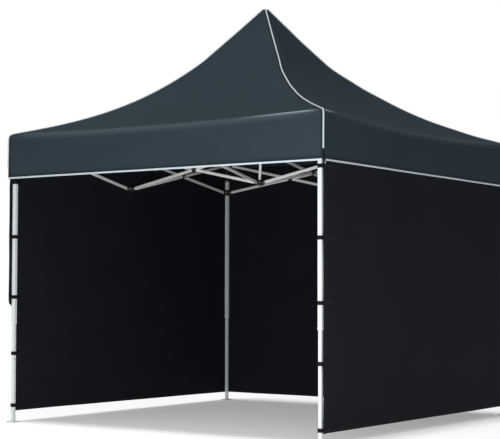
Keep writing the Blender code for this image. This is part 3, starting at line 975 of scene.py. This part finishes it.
# A point of a wall, at shares u along it and v up it
def wallPoint(side, u, v, lift=0.0):
    height = walls["bottomZ"] + wallTall * v
    ends = wallEnds(side, height)
    along = ends[0] + (ends[1] - ends[0]) * u
    low, high = walls["hemLift"][side]
    hem = low + (high - low) * (along / walls["cornerReach"] + 1) / 2
    hem += 0.002 * noise.noise(Vector((along * 1.7, sides[side] * 0.1, 9)))
    out = walls["plane"] + lift + wallFold(side, along, height, ends)
    return turned((along, -out, height + hem * (1 - v) ** 3), sides[side])


def buildWall(side):
    bm = bmesh.new()
    layer = bm.loops.layers.uv.new("cloth")
    columns, rows = walls["columns"], walls["rows"]
    points = [[wallPoint(side, c / columns, r / rows) for c in range(columns + 1)] for r in range(rows + 1)]
    addSheet(bm, layer, points, lambda r, c: (2 * walls["cornerReach"] * c / columns, wallTall * r / rows))
    obj = meshObject(f"{side}_wall_sheet", bm, wallCloth, recalc=False)
    piece = thickened(obj, walls["cloth"], 0, wallCloth)
    return finish(piece, "wall_cloth", replaced=[f"{side}_wall"], sharp=50)


# Shares of the wall along a line that runs round it, a little inside its four edges
def wallBorder(inset):
    columns, rows = walls["columns"] // 2, walls["rows"]
    u0 = inset / (2 * walls["cornerReach"])
    v0 = inset / wallTall
    across = [u0 + (1 - 2 * u0) * i / columns for i in range(columns)]
    rising = [v0 + (1 - 2 * v0) * i / rows for i in range(rows)]
    spots = [(u, v0) for u in across] + [(1 - u0, v) for v in rising]
    return spots + [(1 - u, 1 - v0) for u in across] + [(u0, 1 - v) for v in rising]


# Binding tape folded over the wall's four edges
def buildWallBinding(side):
    bm = bmesh.new()
    frames = []
    outward = turned((0, -1, 0), sides[side])
    spots = wallBorder(walls["tape"] / 2 - 0.001)
    count = len(spots)
    for i, (u, v) in enumerate(spots):
        point = wallPoint(side, u, v)
        before = wallPoint(side, *spots[i - 1])
        after = wallPoint(side, *spots[(i + 1) % count])
        run = (after - before).normalized()
        inward = outward.cross(run).normalized()
        corner = i % (walls["columns"] // 2 + walls["rows"]) in (0, walls["columns"] // 2)
        frames.append((point, outward, inward * (math.sqrt(2) if corner else 1.0)))
    sweepSection(bm, frames, roundedRectangle(walls["tapeThick"], walls["tape"], 0.0012, 2), closed=True)
    return bandPiece(f"{side}_wall_binding", bm, blackWebbing, "wall_cloth", 50)


threadGrey = solidMaterial("threadGrey", (0.035, 0.036, 0.040), (0.06, 0.06, 0.06), 0.5, 0.5, 0.7, 900.0, 0.2)


# Thread along the binding on both faces, and a crossed box where each strap is sewn on
def buildWallStitches(side):
    lines = []
    for lift in (0.0019, -0.0019):
        line = [wallPoint(side, u, v, lift) for u, v in wallBorder(0.016)]
        lines.append(line + line[:1])
    if side in frontSigns:
        near = legReach - straps["sewnStart"] - 0.006
        far = near - straps["sewn"] + 0.008
        for height in walls["straps"][side]:
            start, end = wallEnds(side, height)
            u0, u1 = ((frontSigns[side] * reach - start) / (end - start) for reach in (near, far))
            v0, v1 = ((height + z - walls["bottomZ"]) / wallTall for z in (-0.009, 0.009))
            box = [(u0, v0), (u1, v0), (u1, v1), (u0, v1), (u0, v0), (u1, v1)]
            lines.append([wallPoint(side, *spot, 0.0011) for spot in box])
    settings = {"Spacing": 0.011, "Stitch Length": 0.0070, "Thread Radius": 0.00055}
    return stitchLines(f"{side}_wall_stitches", lines, settings, threadGrey, "wall_cloth")


# Straps: a webbing loop round the front leg at five heights, sewn to the wall's inner face
straps = {
    "tall": 0.029, "thick": 0.0018, "clearOuter": 0.0009, "clearInner": 0.0026, "sewn": 0.055,
    "sewnStart": 0.044, "looseTail": ("right", 0.557), "doubled": ("left", 1.928),
}


def buildWallStraps(side):
    bm = bmesh.new()
    turn = sides[side]
    end = frontSigns[side]
    thick, tall = straps["thick"], straps["tall"]
    section = roundedRectangle(thick, tall, 0.0007, 2)
    sewnY = -walls["plane"] + 0.0017
    for z in walls["straps"][side]:
        onOuter = z > legLow.z
        width = tubeWidth if onOuter else tubeWidth - 0.006
        half = width / 2 + straps["clearOuter" if onOuter else "clearInner"] + thick / 2
        loop = [(end * legReach + x, y - legReach) for x, y in roundedRectangle(2 * half, 2 * half, 0.005, 4)]
        frames = pathFrames(loop, z, turn, closed=True)
        sweepSection(bm, frames, section, closed=True)
        if (side, z) == straps["doubled"]:
            upper = [(place + up * tall * 0.84, a, b) for place, a, b in frames]
            sweepSection(bm, upper, section, closed=True)
        outerY = -legReach - half
        sewnX = legReach - straps["sewnStart"]
        link = [
            (legReach + 0.004, outerY - 0.0012), (legReach - 0.010, outerY - 0.0022),
            (legReach - 0.022, (sewnY + outerY) / 2 - 0.001), (legReach - 0.034, sewnY),
            (sewnX, sewnY), (sewnX - straps["sewn"], sewnY),
        ]
        sweepSection(bm, pathFrames([(end * x, y) for x, y in link], z, turn), section)
        if (side, z) != straps["looseTail"]:
            continue
        # The one end that hangs out, on the outer side of its leg
        tail = []
        for rise, out in ((0.006, 0.0), (-0.010, 0.0005), (-0.030, 0.005), (-0.050, 0.010), (-0.070, 0.008)):
            place = (end * (legReach + 0.002), outerY - thick - out, z + rise)
            tail.append([turned(vector, turn) for vector in (place, (0, -1, 0), (1, 0, 0))])
        sweepSection(bm, tail, roundedRectangle(thick, 0.016, 0.0007, 2))
    return bandPiece(f"{side}_wall_straps", bm, blackWebbing, "wall_cloth", 40)


# Zip down each back corner, where the back wall meets a side wall
zips = {"coilRadius": 0.0028, "tape": 0.014, "tapeThick": 0.0012, "pull": 0.026}


def buildCornerZip(side):
    sign = -frontSigns[side]
    turn = sides[side]
    bm = bmesh.new()
    low, high = walls["bottomZ"] + 0.004, walls["topZ"] - 0.010
    plane, reach = walls["plane"], walls["cornerReach"]
    corner = turned((sign * (walls["cornerReach"] + 0.0018), -walls["plane"] - 0.0018, 0), turn)
    addRod(bm, corner + Vector((0, 0, low)), corner + Vector((0, 0, high)), zips["coilRadius"], 10)
    for dx, dy, size in (
        (sign * (reach - zips["tape"] / 2), -plane - 0.0024, (zips["tape"], zips["tapeThick"])),
        (sign * (reach + 0.0024), -plane + zips["tape"] / 2, (zips["tapeThick"], zips["tape"])),
    ):
        centre = turned((dx, dy, (low + high) / 2), turn)
        addBlock(bm, centre, (*size, high - low), turn, 0.0004, 1)
    zipTape = bandPiece(f"corner_zip_{side}", bm, blackWebbing, "wall_cloth", 40)
    bm = bmesh.new()
    addBlock(bm, corner + Vector((0, 0, low + 0.012)), (0.009, 0.009, 0.013), turn + 45, 0.0018)
    outward = Vector((corner.x, corner.y, 0)).normalized()
    pullPlace = corner + outward * 0.0052 + Vector((0, 0, low + 0.012 - zips["pull"] / 2))
    addBlock(bm, pullPlace, (0.0016, 0.006, zips["pull"]), turn + 45, 0.0007)
    pull = finish(meshObject(f"zip_pull_{side}", bm, zincSteel), "wall_cloth")
    return [zipTape, pull]


wallPieces = {}
for side in ("left", "right", "back"):
    extras = [buildWallBinding(side), buildWallStitches(side)]
    if side in frontSigns:
        extras += [buildWallStraps(side), *buildCornerZip(side)]
    wallPieces[side] = (buildWall(side), extras)
print("walls built")

# Legs: rounded square tubes, a guide collar, spring buttons and spare holes

legs = {
    "innerWidth": 0.026, "corner": 0.0038, "innerCorner": 0.0032, "wall": 0.0022, "collarTall": 0.020,
    "plate": 0.084, "plateThick": 0.004, "plateCorner": 0.007, "pegHole": 0.005, "pegInset": 0.013,
    "holePitch": 0.10, "buttonRadius": 0.0042,
}


def addSquareTube(bm, x, y, width, wall, corner, low, high, rim=0.0006):
    profile = [
        (width - 2 * rim, low), (width, low + rim), (width, high - rim), (width - 2 * rim, high),
        (width - 2 * wall, high), (width - 2 * wall, low),
    ]
    rings = []
    for size, z in profile:
        radius = max(corner - (width - size) / 2, 0.0006)
        rings.append([(x + px, y + py, z) for px, py in roundedRectangle(size, size, radius, 4)])
    skinRings(bm, rings, closed=True)


def buildOuterLeg(corner, sx, sy):
    bm = bmesh.new()
    addSquareTube(bm, sx * legReach, sy * legReach, tubeWidth, legs["wall"], legs["corner"], legLow.z, legHigh.z)
    obj = meshObject(f"outer_tube_{corner}", bm, whiteSteel)
    finish(obj, "leg_steel", replaced=[f"outer_leg_{corner}"])
    bm = bmesh.new()
    wide = tubeWidth + 0.0022
    low, high = legLow.z + 0.0005, legLow.z + legs["collarTall"]
    addSquareTube(bm, sx * legReach, sy * legReach, wide, 0.0011, legs["corner"], low, high)
    collar = meshObject(f"leg_collar_{corner}", bm, collarPlastic)
    finish(collar, "leg_steel")


def plateCurve(name, x, y):
    curve = bpy.data.curves.new(name, "CURVE")
    curve.dimensions = "2D"
    curve.fill_mode = "BOTH"
    curve.extrude = legs["plateThick"] / 2 - 0.0006
    curve.bevel_depth = 0.0006
    curve.bevel_resolution = 1
    outline = roundedRectangle(legs["plate"] - 0.0012, legs["plate"] - 0.0012, legs["plateCorner"], 5)
    angles = [step * math.pi / 10 for step in range(20)]
    hole = [(legs["pegHole"] * math.cos(angle), legs["pegHole"] * math.sin(angle)) for angle in angles]
    offset = legs["plate"] / 2 - legs["pegInset"]
    holeX, holeY = math.copysign(offset, x), -math.copysign(offset, y)
    for points, cx, cy in ((outline, 0, 0), (hole, holeX, holeY), (hole, -holeX, -holeY)):
        addSpline(curve, [(x + cx + px, y + cy + py, 0) for px, py in points], cyclic=True)
    return curve


def buildInnerLeg(corner, sx, sy):
    body = f"sliding_leg_{corner}"
    x, y = sx * legReach, sy * legReach
    plate = bpy.data.objects.new("plate", plateCurve("plate", x, y))
    plate.location.z = legs["plateThick"] / 2
    bpy.context.scene.collection.objects.link(plate)
    plate = toPlainMesh(plate, f"foot_plate_{corner}", plateSteel)
    finish(plate, "leg_steel", body)
    bm = bmesh.new()
    addSquareTube(
        bm, x, y, legs["innerWidth"], 0.0015, legs["innerCorner"], legs["plateThick"] - 0.0005, footHigh.z
    )
    tube = meshObject(f"inner_tube_{corner}", bm, whiteSteel)
    finish(tube, "leg_steel", body, replaced=[f"inner_leg_{corner}"])
    # Weld bead between the tube and its plate
    bm = bmesh.new()
    width = legs["innerWidth"] + 0.002
    loop = [(x + px, y + py) for px, py in roundedRectangle(width, width, 0.004, 6)]
    frames = []
    for i, (place, out, rise) in enumerate(pathFrames(loop, legs["plateThick"], closed=True)):
        frames.append((place + up * 0.0003 * math.sin(i * 2.4), out, rise))
    ring = [(0.0022 * math.cos(a * math.pi / 4), 0.0022 * math.sin(a * math.pi / 4)) for a in range(8)]
    sweepSection(bm, frames, ring, closed=True)
    finish(meshObject(f"foot_weld_{corner}", bm, whiteSteel), "leg_steel", body)


plateSteel = solidMaterial("plateSteel", (0.40, 0.41, 0.42), (0.26, 0.25, 0.24), 0.5, 0.35, 0.55, 500.0, 0.15)
collarPlastic = solidMaterial("collarPlastic", (0.64, 0.68, 0.69), (0.52, 0.55, 0.56), 0.3, 0.35, 0.5, 800.0, 0.15)


# Spring buttons over each leg's end, and the spare height holes below, on the faces that look inwards
def buildLegButtons():
    pins = []
    face = legReach - tubeWidth / 2 - 0.001
    for sx, sy in corners.values():
        pins.append(((sx * face, sy * legReach, legLow.z + 0.055), (-sx, 0, 0)))
        pins.append(((sx * legReach, sy * face, sliderHigh.z + 0.035), (0, -sy, 0)))
    settings = {"Head Radius": legs["buttonRadius"], "Head Height": 0.004}
    rivetHeads("leg_buttons", pins, settings, zincSteel, "leg_steel")
    # The spare holes are thin black discs: painted shade for the dark inside of each hole
    for corner, (sx, sy) in corners.items():
        face = legReach - legs["innerWidth"] / 2
        holes = []
        for step in range(4):
            z = legLow.z - 0.09 - step * legs["holePitch"]
            holes.append((Vector((sx * (face - 0.0001), sy * legReach, z)), (-sx, 0, 0)))
        settings = {"Head Radius": 0.0040, "Head Height": 0.0004}
        rivetHeads(f"height_holes_{corner}", holes, settings, blackPlastic, "leg_steel", f"sliding_leg_{corner}")


for corner, (sx, sy) in corners.items():
    buildOuterLeg(corner, sx, sy)
    buildInnerLeg(corner, sx, sy)
buildLegButtons()
print("legs built")

# Frame joints: moulded blocks with a fork for each bar, and the crossed bars pinned in them

truss = {
    "legPivot": 0.045, "middlePivot": 0.040, "legPair": (2.260, 2.000),
    "middlePairs": {
        "front": (2.230, 1.977), "right": (2.247, 1.957), "back": (2.210, 1.957), "left": (2.240, 1.957),
    },
    "hubPlace": (-0.045, -0.020), "hubPair": (2.230, 1.957), "barHigh": 0.024, "barThick": 0.010,
    "barOffset": 0.0073, "barBevel": 0.0022, "play": 0.0003,
    "cheek": 0.0030, "cheekHigh": 0.028, "coverLong": 0.046, "coverHigh": 0.031, "sleeve": 0.044,
}
barFace = truss["barOffset"] + truss["barThick"] / 2
pinSpots = []


# The way from a side's middle joint to the hub, which sits a little off the tent's centre
def wayToHub(turn):
    joint = turned((0, -legReach, 0), turn)
    run = Vector((truss["hubPlace"][0], truss["hubPlace"][1], 0)) - joint
    return joint, run.normalized(), run.length


# A lug between two cheeks, with a bar on one side of it and a bush on the other
def addFork(bm, centre, along, start, pivot, barSide):
    side = up.cross(along)
    cheekNear = barFace + truss["play"]
    outline = [(max(a, start), z) for a, z in stadium((start, 0), (pivot, 0), truss["cheekHigh"] / 2)]
    addPlate(bm, [(a, z * 0.93) for a, z in outline], centre, along, -0.002, 0.002, 0.0006)
    spot = centre + along * pivot
    for sign in (-1, 1):
        near, far = sorted((sign * cheekNear, sign * (cheekNear + truss["cheek"])))
        addPlate(bm, outline, centre, along, near, far, 0.0010)
        pinSpots.append((spot + side * sign * (barFace + truss["cheek"] + 0.0014), side * sign))
    size = (0.006, 2 * (barFace + truss["cheek"]), truss["cheekHigh"] * 0.98)
    addBlock(bm, centre + along * (start + 0.003), size, math.degrees(math.atan2(along.y, along.x)), 0.0008)
    across = -side * barSide
    addRod(bm, spot + across * 0.002, spot + across * cheekNear, 0.0085, 14)


def buildMiddleJoint(side, level, height):
    turn = sides[side]
    centre = turned((0, -legReach, height), turn)
    bm = bmesh.new()
    addBlock(bm, centre, (0.034, 0.034, 0.040), turn, 0.0035, 3)
    for along in (turned((1, 0, 0), turn), turned((-1, 0, 0), turn), wayToHub(turn)[1]):
        addFork(bm, centre, along, 0.016, truss["middlePivot"], 1 if level == "upper" else -1)
    addRod(bm, centre - Vector((0, 0, 0.0215)), centre + Vector((0, 0, 0.0215)), 0.009, 20, 0.001)
    obj = meshObject(f"{side}_{level}_knuckle", bm, blackPlastic)
    finish(obj, "black_plastic", replaced=[f"{side}_{level}_joint"])


# The bracket with its cap on a leg's top and the slider with its rim below, each with two forks
def buildLegBlocks(corner, sx, sy):
    x, y, width = sx * legReach, sy * legReach, truss["sleeve"]
    for node, name, z, barSide in (
        ("top_bracket", "leg_cap", truss["legPair"][0], 1), ("slider", "slide_sleeve", sliderZ, -1),
    ):
        low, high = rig.box(f"{node}_{corner}")
        onTop = node == "top_bracket"
        sleeveTop = legHigh.z + 0.001 if onTop else high.z
        bm = bmesh.new()
        addSquareTube(bm, x, y, width, (width - tubeWidth) / 2 - 0.0003, 0.006, low.z, sleeveTop, 0.0014)
        if onTop:
            capTall = high.z - legHigh.z - 0.0004
            addBlock(bm, (x, y, high.z - capTall / 2), (width, width, capTall), 0, 0.003, 3)
        else:
            addSquareTube(bm, x, y, width + 0.003, 0.0016, 0.0065, low.z + 0.001, low.z + 0.008)
        for along in (Vector((-sx, 0, 0)), Vector((0, -sy, 0))):
            addFork(bm, Vector((x, y, z)), along, 0.0205, truss["legPivot"], barSide)
        obj = meshObject(f"{name}_{corner}", bm, blackPlastic)
        finish(obj, "black_plastic", replaced=[f"{node}_{corner}"])


def buildScissor(node, origin, along, span, startPair, endPair):
    side = up.cross(along)
    fall = (startPair[0] - endPair[1]) / span
    climb = (endPair[0] - startPair[1]) / span
    crossing = (startPair[0] - startPair[1]) / (fall + climb)
    pinZ = startPair[1] + climb * crossing
    bm = bmesh.new()
    radius = truss["barHigh"] / 2
    half = truss["barThick"] / 2
    for start, end, plane in ((startPair[0], endPair[1], 1), (startPair[1], endPair[0], -1)):
        middle = plane * truss["barOffset"]
        outline = stadium((0, start), (span, end), radius)
        addPlate(bm, outline, origin, along, middle - half, middle + half, truss["barBevel"])
    finish(meshObject(f"{node}_bars", bm, greySteel), "bar_steel", replaced=[node])
    bm = bmesh.new()
    pin = origin + along * crossing + Vector((0, 0, pinZ))
    level = (truss["coverLong"], truss["coverHigh"])
    for sign, slope in ((1, -fall), (-1, climb)):
        cos, sin = math.cos(math.atan(slope)), math.sin(math.atan(slope))
        outline = [(a * cos - z * sin, a * sin + z * cos) for a, z in roundedRectangle(*level, 0.007, 4)]
        near, far = sorted((sign * (barFace - 0.0020), sign * (barFace + 0.0026)))
        addPlate(bm, outline, pin, along, near, far, 0.0012)
        pinSpots.append((pin + side * sign * (barFace + 0.0040), side * sign))
    addRod(bm, pin - side * 0.0073, pin + side * 0.0073, 0.011, 18)
    finish(meshObject(f"{node}_pivot", bm, blackPlastic), "black_plastic")


def buildSides():
    span = legReach - truss["legPivot"] - truss["middlePivot"]
    for side, turn in sides.items():
        middlePair = truss["middlePairs"][side]
        buildMiddleJoint(side, "upper", middlePair[0])
        buildMiddleJoint(side, "lower", middlePair[1])
        start = legReach - truss["legPivot"]
        for end, sign in zip(sideEnds[side], (-1, 1)):
            origin = turned((sign * start, -legReach, 0), turn)
            along = turned((-sign, 0, 0), turn)
            buildScissor(f"{side}_scissor_{end}", origin, along, span, truss["legPair"], middlePair)
        joint, along, length = wayToHub(turn)
        origin = joint + along * truss["middlePivot"]
        innerSpan = length - 2 * truss["middlePivot"]
        buildScissor(f"inner_scissor_{side}", origin, along, innerSpan, middlePair, truss["hubPair"])


def buildHubs():
    for level, height in zip(("upper", "lower"), truss["hubPair"]):
        bm = bmesh.new()
        centre = Vector((*truss["hubPlace"], height))
        if level == "upper":
            addSquareTube(bm, centre.x, centre.y, 0.044, 0.0045, 0.005, height - 0.022, height + 0.022, 0.0015)
        else:
            addBlock(bm, centre, (0.044, 0.044, 0.044), 0, 0.005, 3)
            addRod(bm, centre - Vector((0, 0, 0.027)), centre, 0.013, 24, 0.002)
        for turn in sides.values():
            barSide = 1 if level == "upper" else -1
            addFork(bm, centre, -wayToHub(turn)[1], 0.0205, truss["middlePivot"], barSide)
        obj = meshObject(f"{level}_hub_knuckle", bm, blackPlastic)
        finish(obj, "black_plastic", replaced=[f"{level}_hub"])


# The pole leans from the hubs to the peak. Its shapes are measured down from the peak.
def buildPole():
    foot = poleLow.z - poleHigh.z
    middle = (poleLow.z + truss["hubPair"][0]) / 2
    axis = Vector((-truss["hubPlace"][0], -truss["hubPlace"][1], poleHigh.z - middle)).normalized()
    lean = Matrix.Translation((0, 0, poleHigh.z)) @ axis.to_track_quat("Z", "Y").to_matrix().to_4x4()
    bm = bmesh.new()
    addRod(bm, (0, 0, foot), (0, 0, -0.075), 0.0115, 32, 0.0006)
    bmesh.ops.transform(bm, matrix=lean, verts=bm.verts)
    pole = meshObject("centre_pole_tube", bm, greySteel)
    finish(pole, "bar_steel", replaced=["centre_pole"])
    # The cap's outline, as (radius, height)
    profile = [
        (0.0150, -0.090), (0.0160, -0.086), (0.0160, -0.072), (0.0200, -0.064), (0.0325, -0.055),
        (0.0338, -0.052), (0.0330, -0.0485), (0.0150, -0.0420), (0.0130, -0.0380), (0.0125, -0.0180),
        (0.0100, -0.0100), (0.0040, -0.0065),
    ]
    bm = bmesh.new()
    angles = [2 * math.pi * i / 32 for i in range(32)]
    skinRings(bm, [[(r * math.cos(a), r * math.sin(a), z) for a in angles] for r, z in profile])
    bmesh.ops.transform(bm, matrix=lean, verts=bm.verts)
    finish(meshObject("peak_cap", bm, blackPlastic), "black_plastic")


buildSides()
for corner, (sx, sy) in corners.items():
    buildLegBlocks(corner, sx, sy)
buildHubs()
buildPole()
rivetHeads("frame_rivets", pinSpots, {"Head Radius": 0.0062, "Head Height": 0.0030}, zincSteel, "bar_steel")
print("frame built:", len(pinSpots), "rivet heads")

# Cloth declarations

coverArea = 15.9
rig.sheet(
    canopyCover, flat=(4.2, 4.0), held="stretched", area=coverArea,
    rests_on=["centre_pole"] + [f"top_bracket_{corner}" for corner in corners],
    with_pieces=[hipPiping, hemTape, cornerTabs, *coverStitches],
)
wallRests = {
    "left": ["outer_leg_front_left", "back_wall"], "right": ["outer_leg_front_right", "back_wall"],
    "back": ["left_wall", "right_wall"],
}
for side, (sheetPiece, extras) in wallPieces.items():
    flatSize = (2 * walls["cornerReach"], walls["topZ"] - walls["bottomZ"])
    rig.sheet(sheetPiece, flat=flatSize, held="hung", rests_on=wallRests[side], with_pieces=extras)

# Floor, light and camera

stage = {
    "floorColour": (0.65, 0.65, 0.655), "floorSize": 60.0, "worldColour": (1.0, 1.0, 1.0),
    "floorGlow": 0.30, "worldFront": 0.87, "worldBack": 0.02, "worldAway": (0.32, 0.947, 0.0),
    "keyPlace": (-0.4, -0.6, 9.0), "keyStrength": 2.1, "keySpread": 11.0,
    "fillPlace": (2.4, -4.7, 0.9), "fillAim": (-1.4, -0.6, 0.7), "fillSize": 2.4, "fillStrength": 110.0,
}
view = {
    "place": (6.885, -10.037, 1.089), "pitch": 2.63, "yaw": 35.08, "roll": 0.12, "lens": 105.3, "sensor": 36.0,
}


def buildStage():
    half = stage["floorSize"] / 2
    mesh = bpy.data.meshes.new("studio_floor")
    mesh.from_pydata([(x * half, y * half, -0.0005) for x, y in corners.values()], [], [(0, 1, 2, 3)])
    floor = placed("studio_floor", mesh)
    paper = bpy.data.materials.new("floorPaper")
    paper.use_nodes = True
    # The paper's own glow keeps the shade under the roof pale
    fillInputs(paper.node_tree, paper.node_tree.nodes["Principled BSDF"], {
        "Base Color": (*stage["floorColour"], 1), "Roughness": 0.9, "Specular IOR Level": 0.0,
        "Emission Color": (1, 1, 1, 1), "Emission Strength": stage["floorGlow"],
    })
    mesh.materials.append(paper)
    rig.stage(floor)
    world = bpy.data.worlds.new("studio")
    bpy.context.scene.world = world
    world.use_nodes = True
    tree = world.node_tree
    # More light comes from the front and the left than from the back
    place = addNode(tree, "ShaderNodeTexCoord", {})
    inputs = {0: place.outputs["Generated"], 1: stage["worldAway"]}
    away = addNode(tree, "ShaderNodeVectorMath", inputs, operation="DOT_PRODUCT")
    facing = addNode(tree, "ShaderNodeMapRange", {
        "Value": away.outputs["Value"], "From Min": -1.0,
        "To Min": stage["worldFront"], "To Max": stage["worldBack"],
    })
    # The backdrop stays pure white where it is seen, whatever light it gives
    path = addNode(tree, "ShaderNodeLightPath", {})
    span = addNode(tree, "ShaderNodeMapRange", {
        "Value": path.outputs["Is Camera Ray"], "To Min": facing.outputs["Result"], "To Max": 1.0,
    })
    fillInputs(tree, tree.nodes["Background"], {
        "Color": (*stage["worldColour"], 1), "Strength": span.outputs["Result"],
    })


def addLight(name, kind, place, aim, strength):
    light = bpy.data.lights.new(name, kind)
    light.energy = strength
    obj = placed(name, light)
    obj.location = place
    obj.rotation_euler = (Vector(aim) - Vector(place)).to_track_quat("-Z", "Y").to_euler()
    return obj


# A high sun, and a soft panel low in front of the open side, which lights the inside of the walls
def buildLights():
    key = addLight("key_light", "SUN", stage["keyPlace"], (0, 0, 0), stage["keyStrength"])
    key.data.angle = math.radians(stage["keySpread"])
    fill = addLight("fill_panel", "AREA", stage["fillPlace"], stage["fillAim"], stage["fillStrength"])
    fill.data.shape = "RECTANGLE"
    fill.data.size = stage["fillSize"]
    fill.data.size_y = stage["fillSize"] / 2
    fill.visible_camera = False


def buildCamera():
    data = bpy.data.cameras.new("photo_view")
    data.lens = view["lens"]
    data.sensor_width = view["sensor"]
    data.clip_end = 200
    obj = placed("photo_view", data)
    obj.location = view["place"]
    turn = Matrix.Rotation(math.radians(view["yaw"]), 4, "Z")
    tilt = Matrix.Rotation(math.radians(90 + view["pitch"]), 4, "X")
    roll = Matrix.Rotation(math.radians(view["roll"]), 4, "Z")
    obj.rotation_euler = (turn @ tilt @ roll).to_euler()
    bpy.context.scene.camera = obj


buildStage()
buildLights()
buildCamera()
bpy.context.scene.view_settings.view_transform = "Standard"
print("stage built")

with open("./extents.json", "w") as sizeFile:
    json.dump({"cad": [list(c) for c in cadBox], "visual": [list(c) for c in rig.bounds()]}, sizeFile)
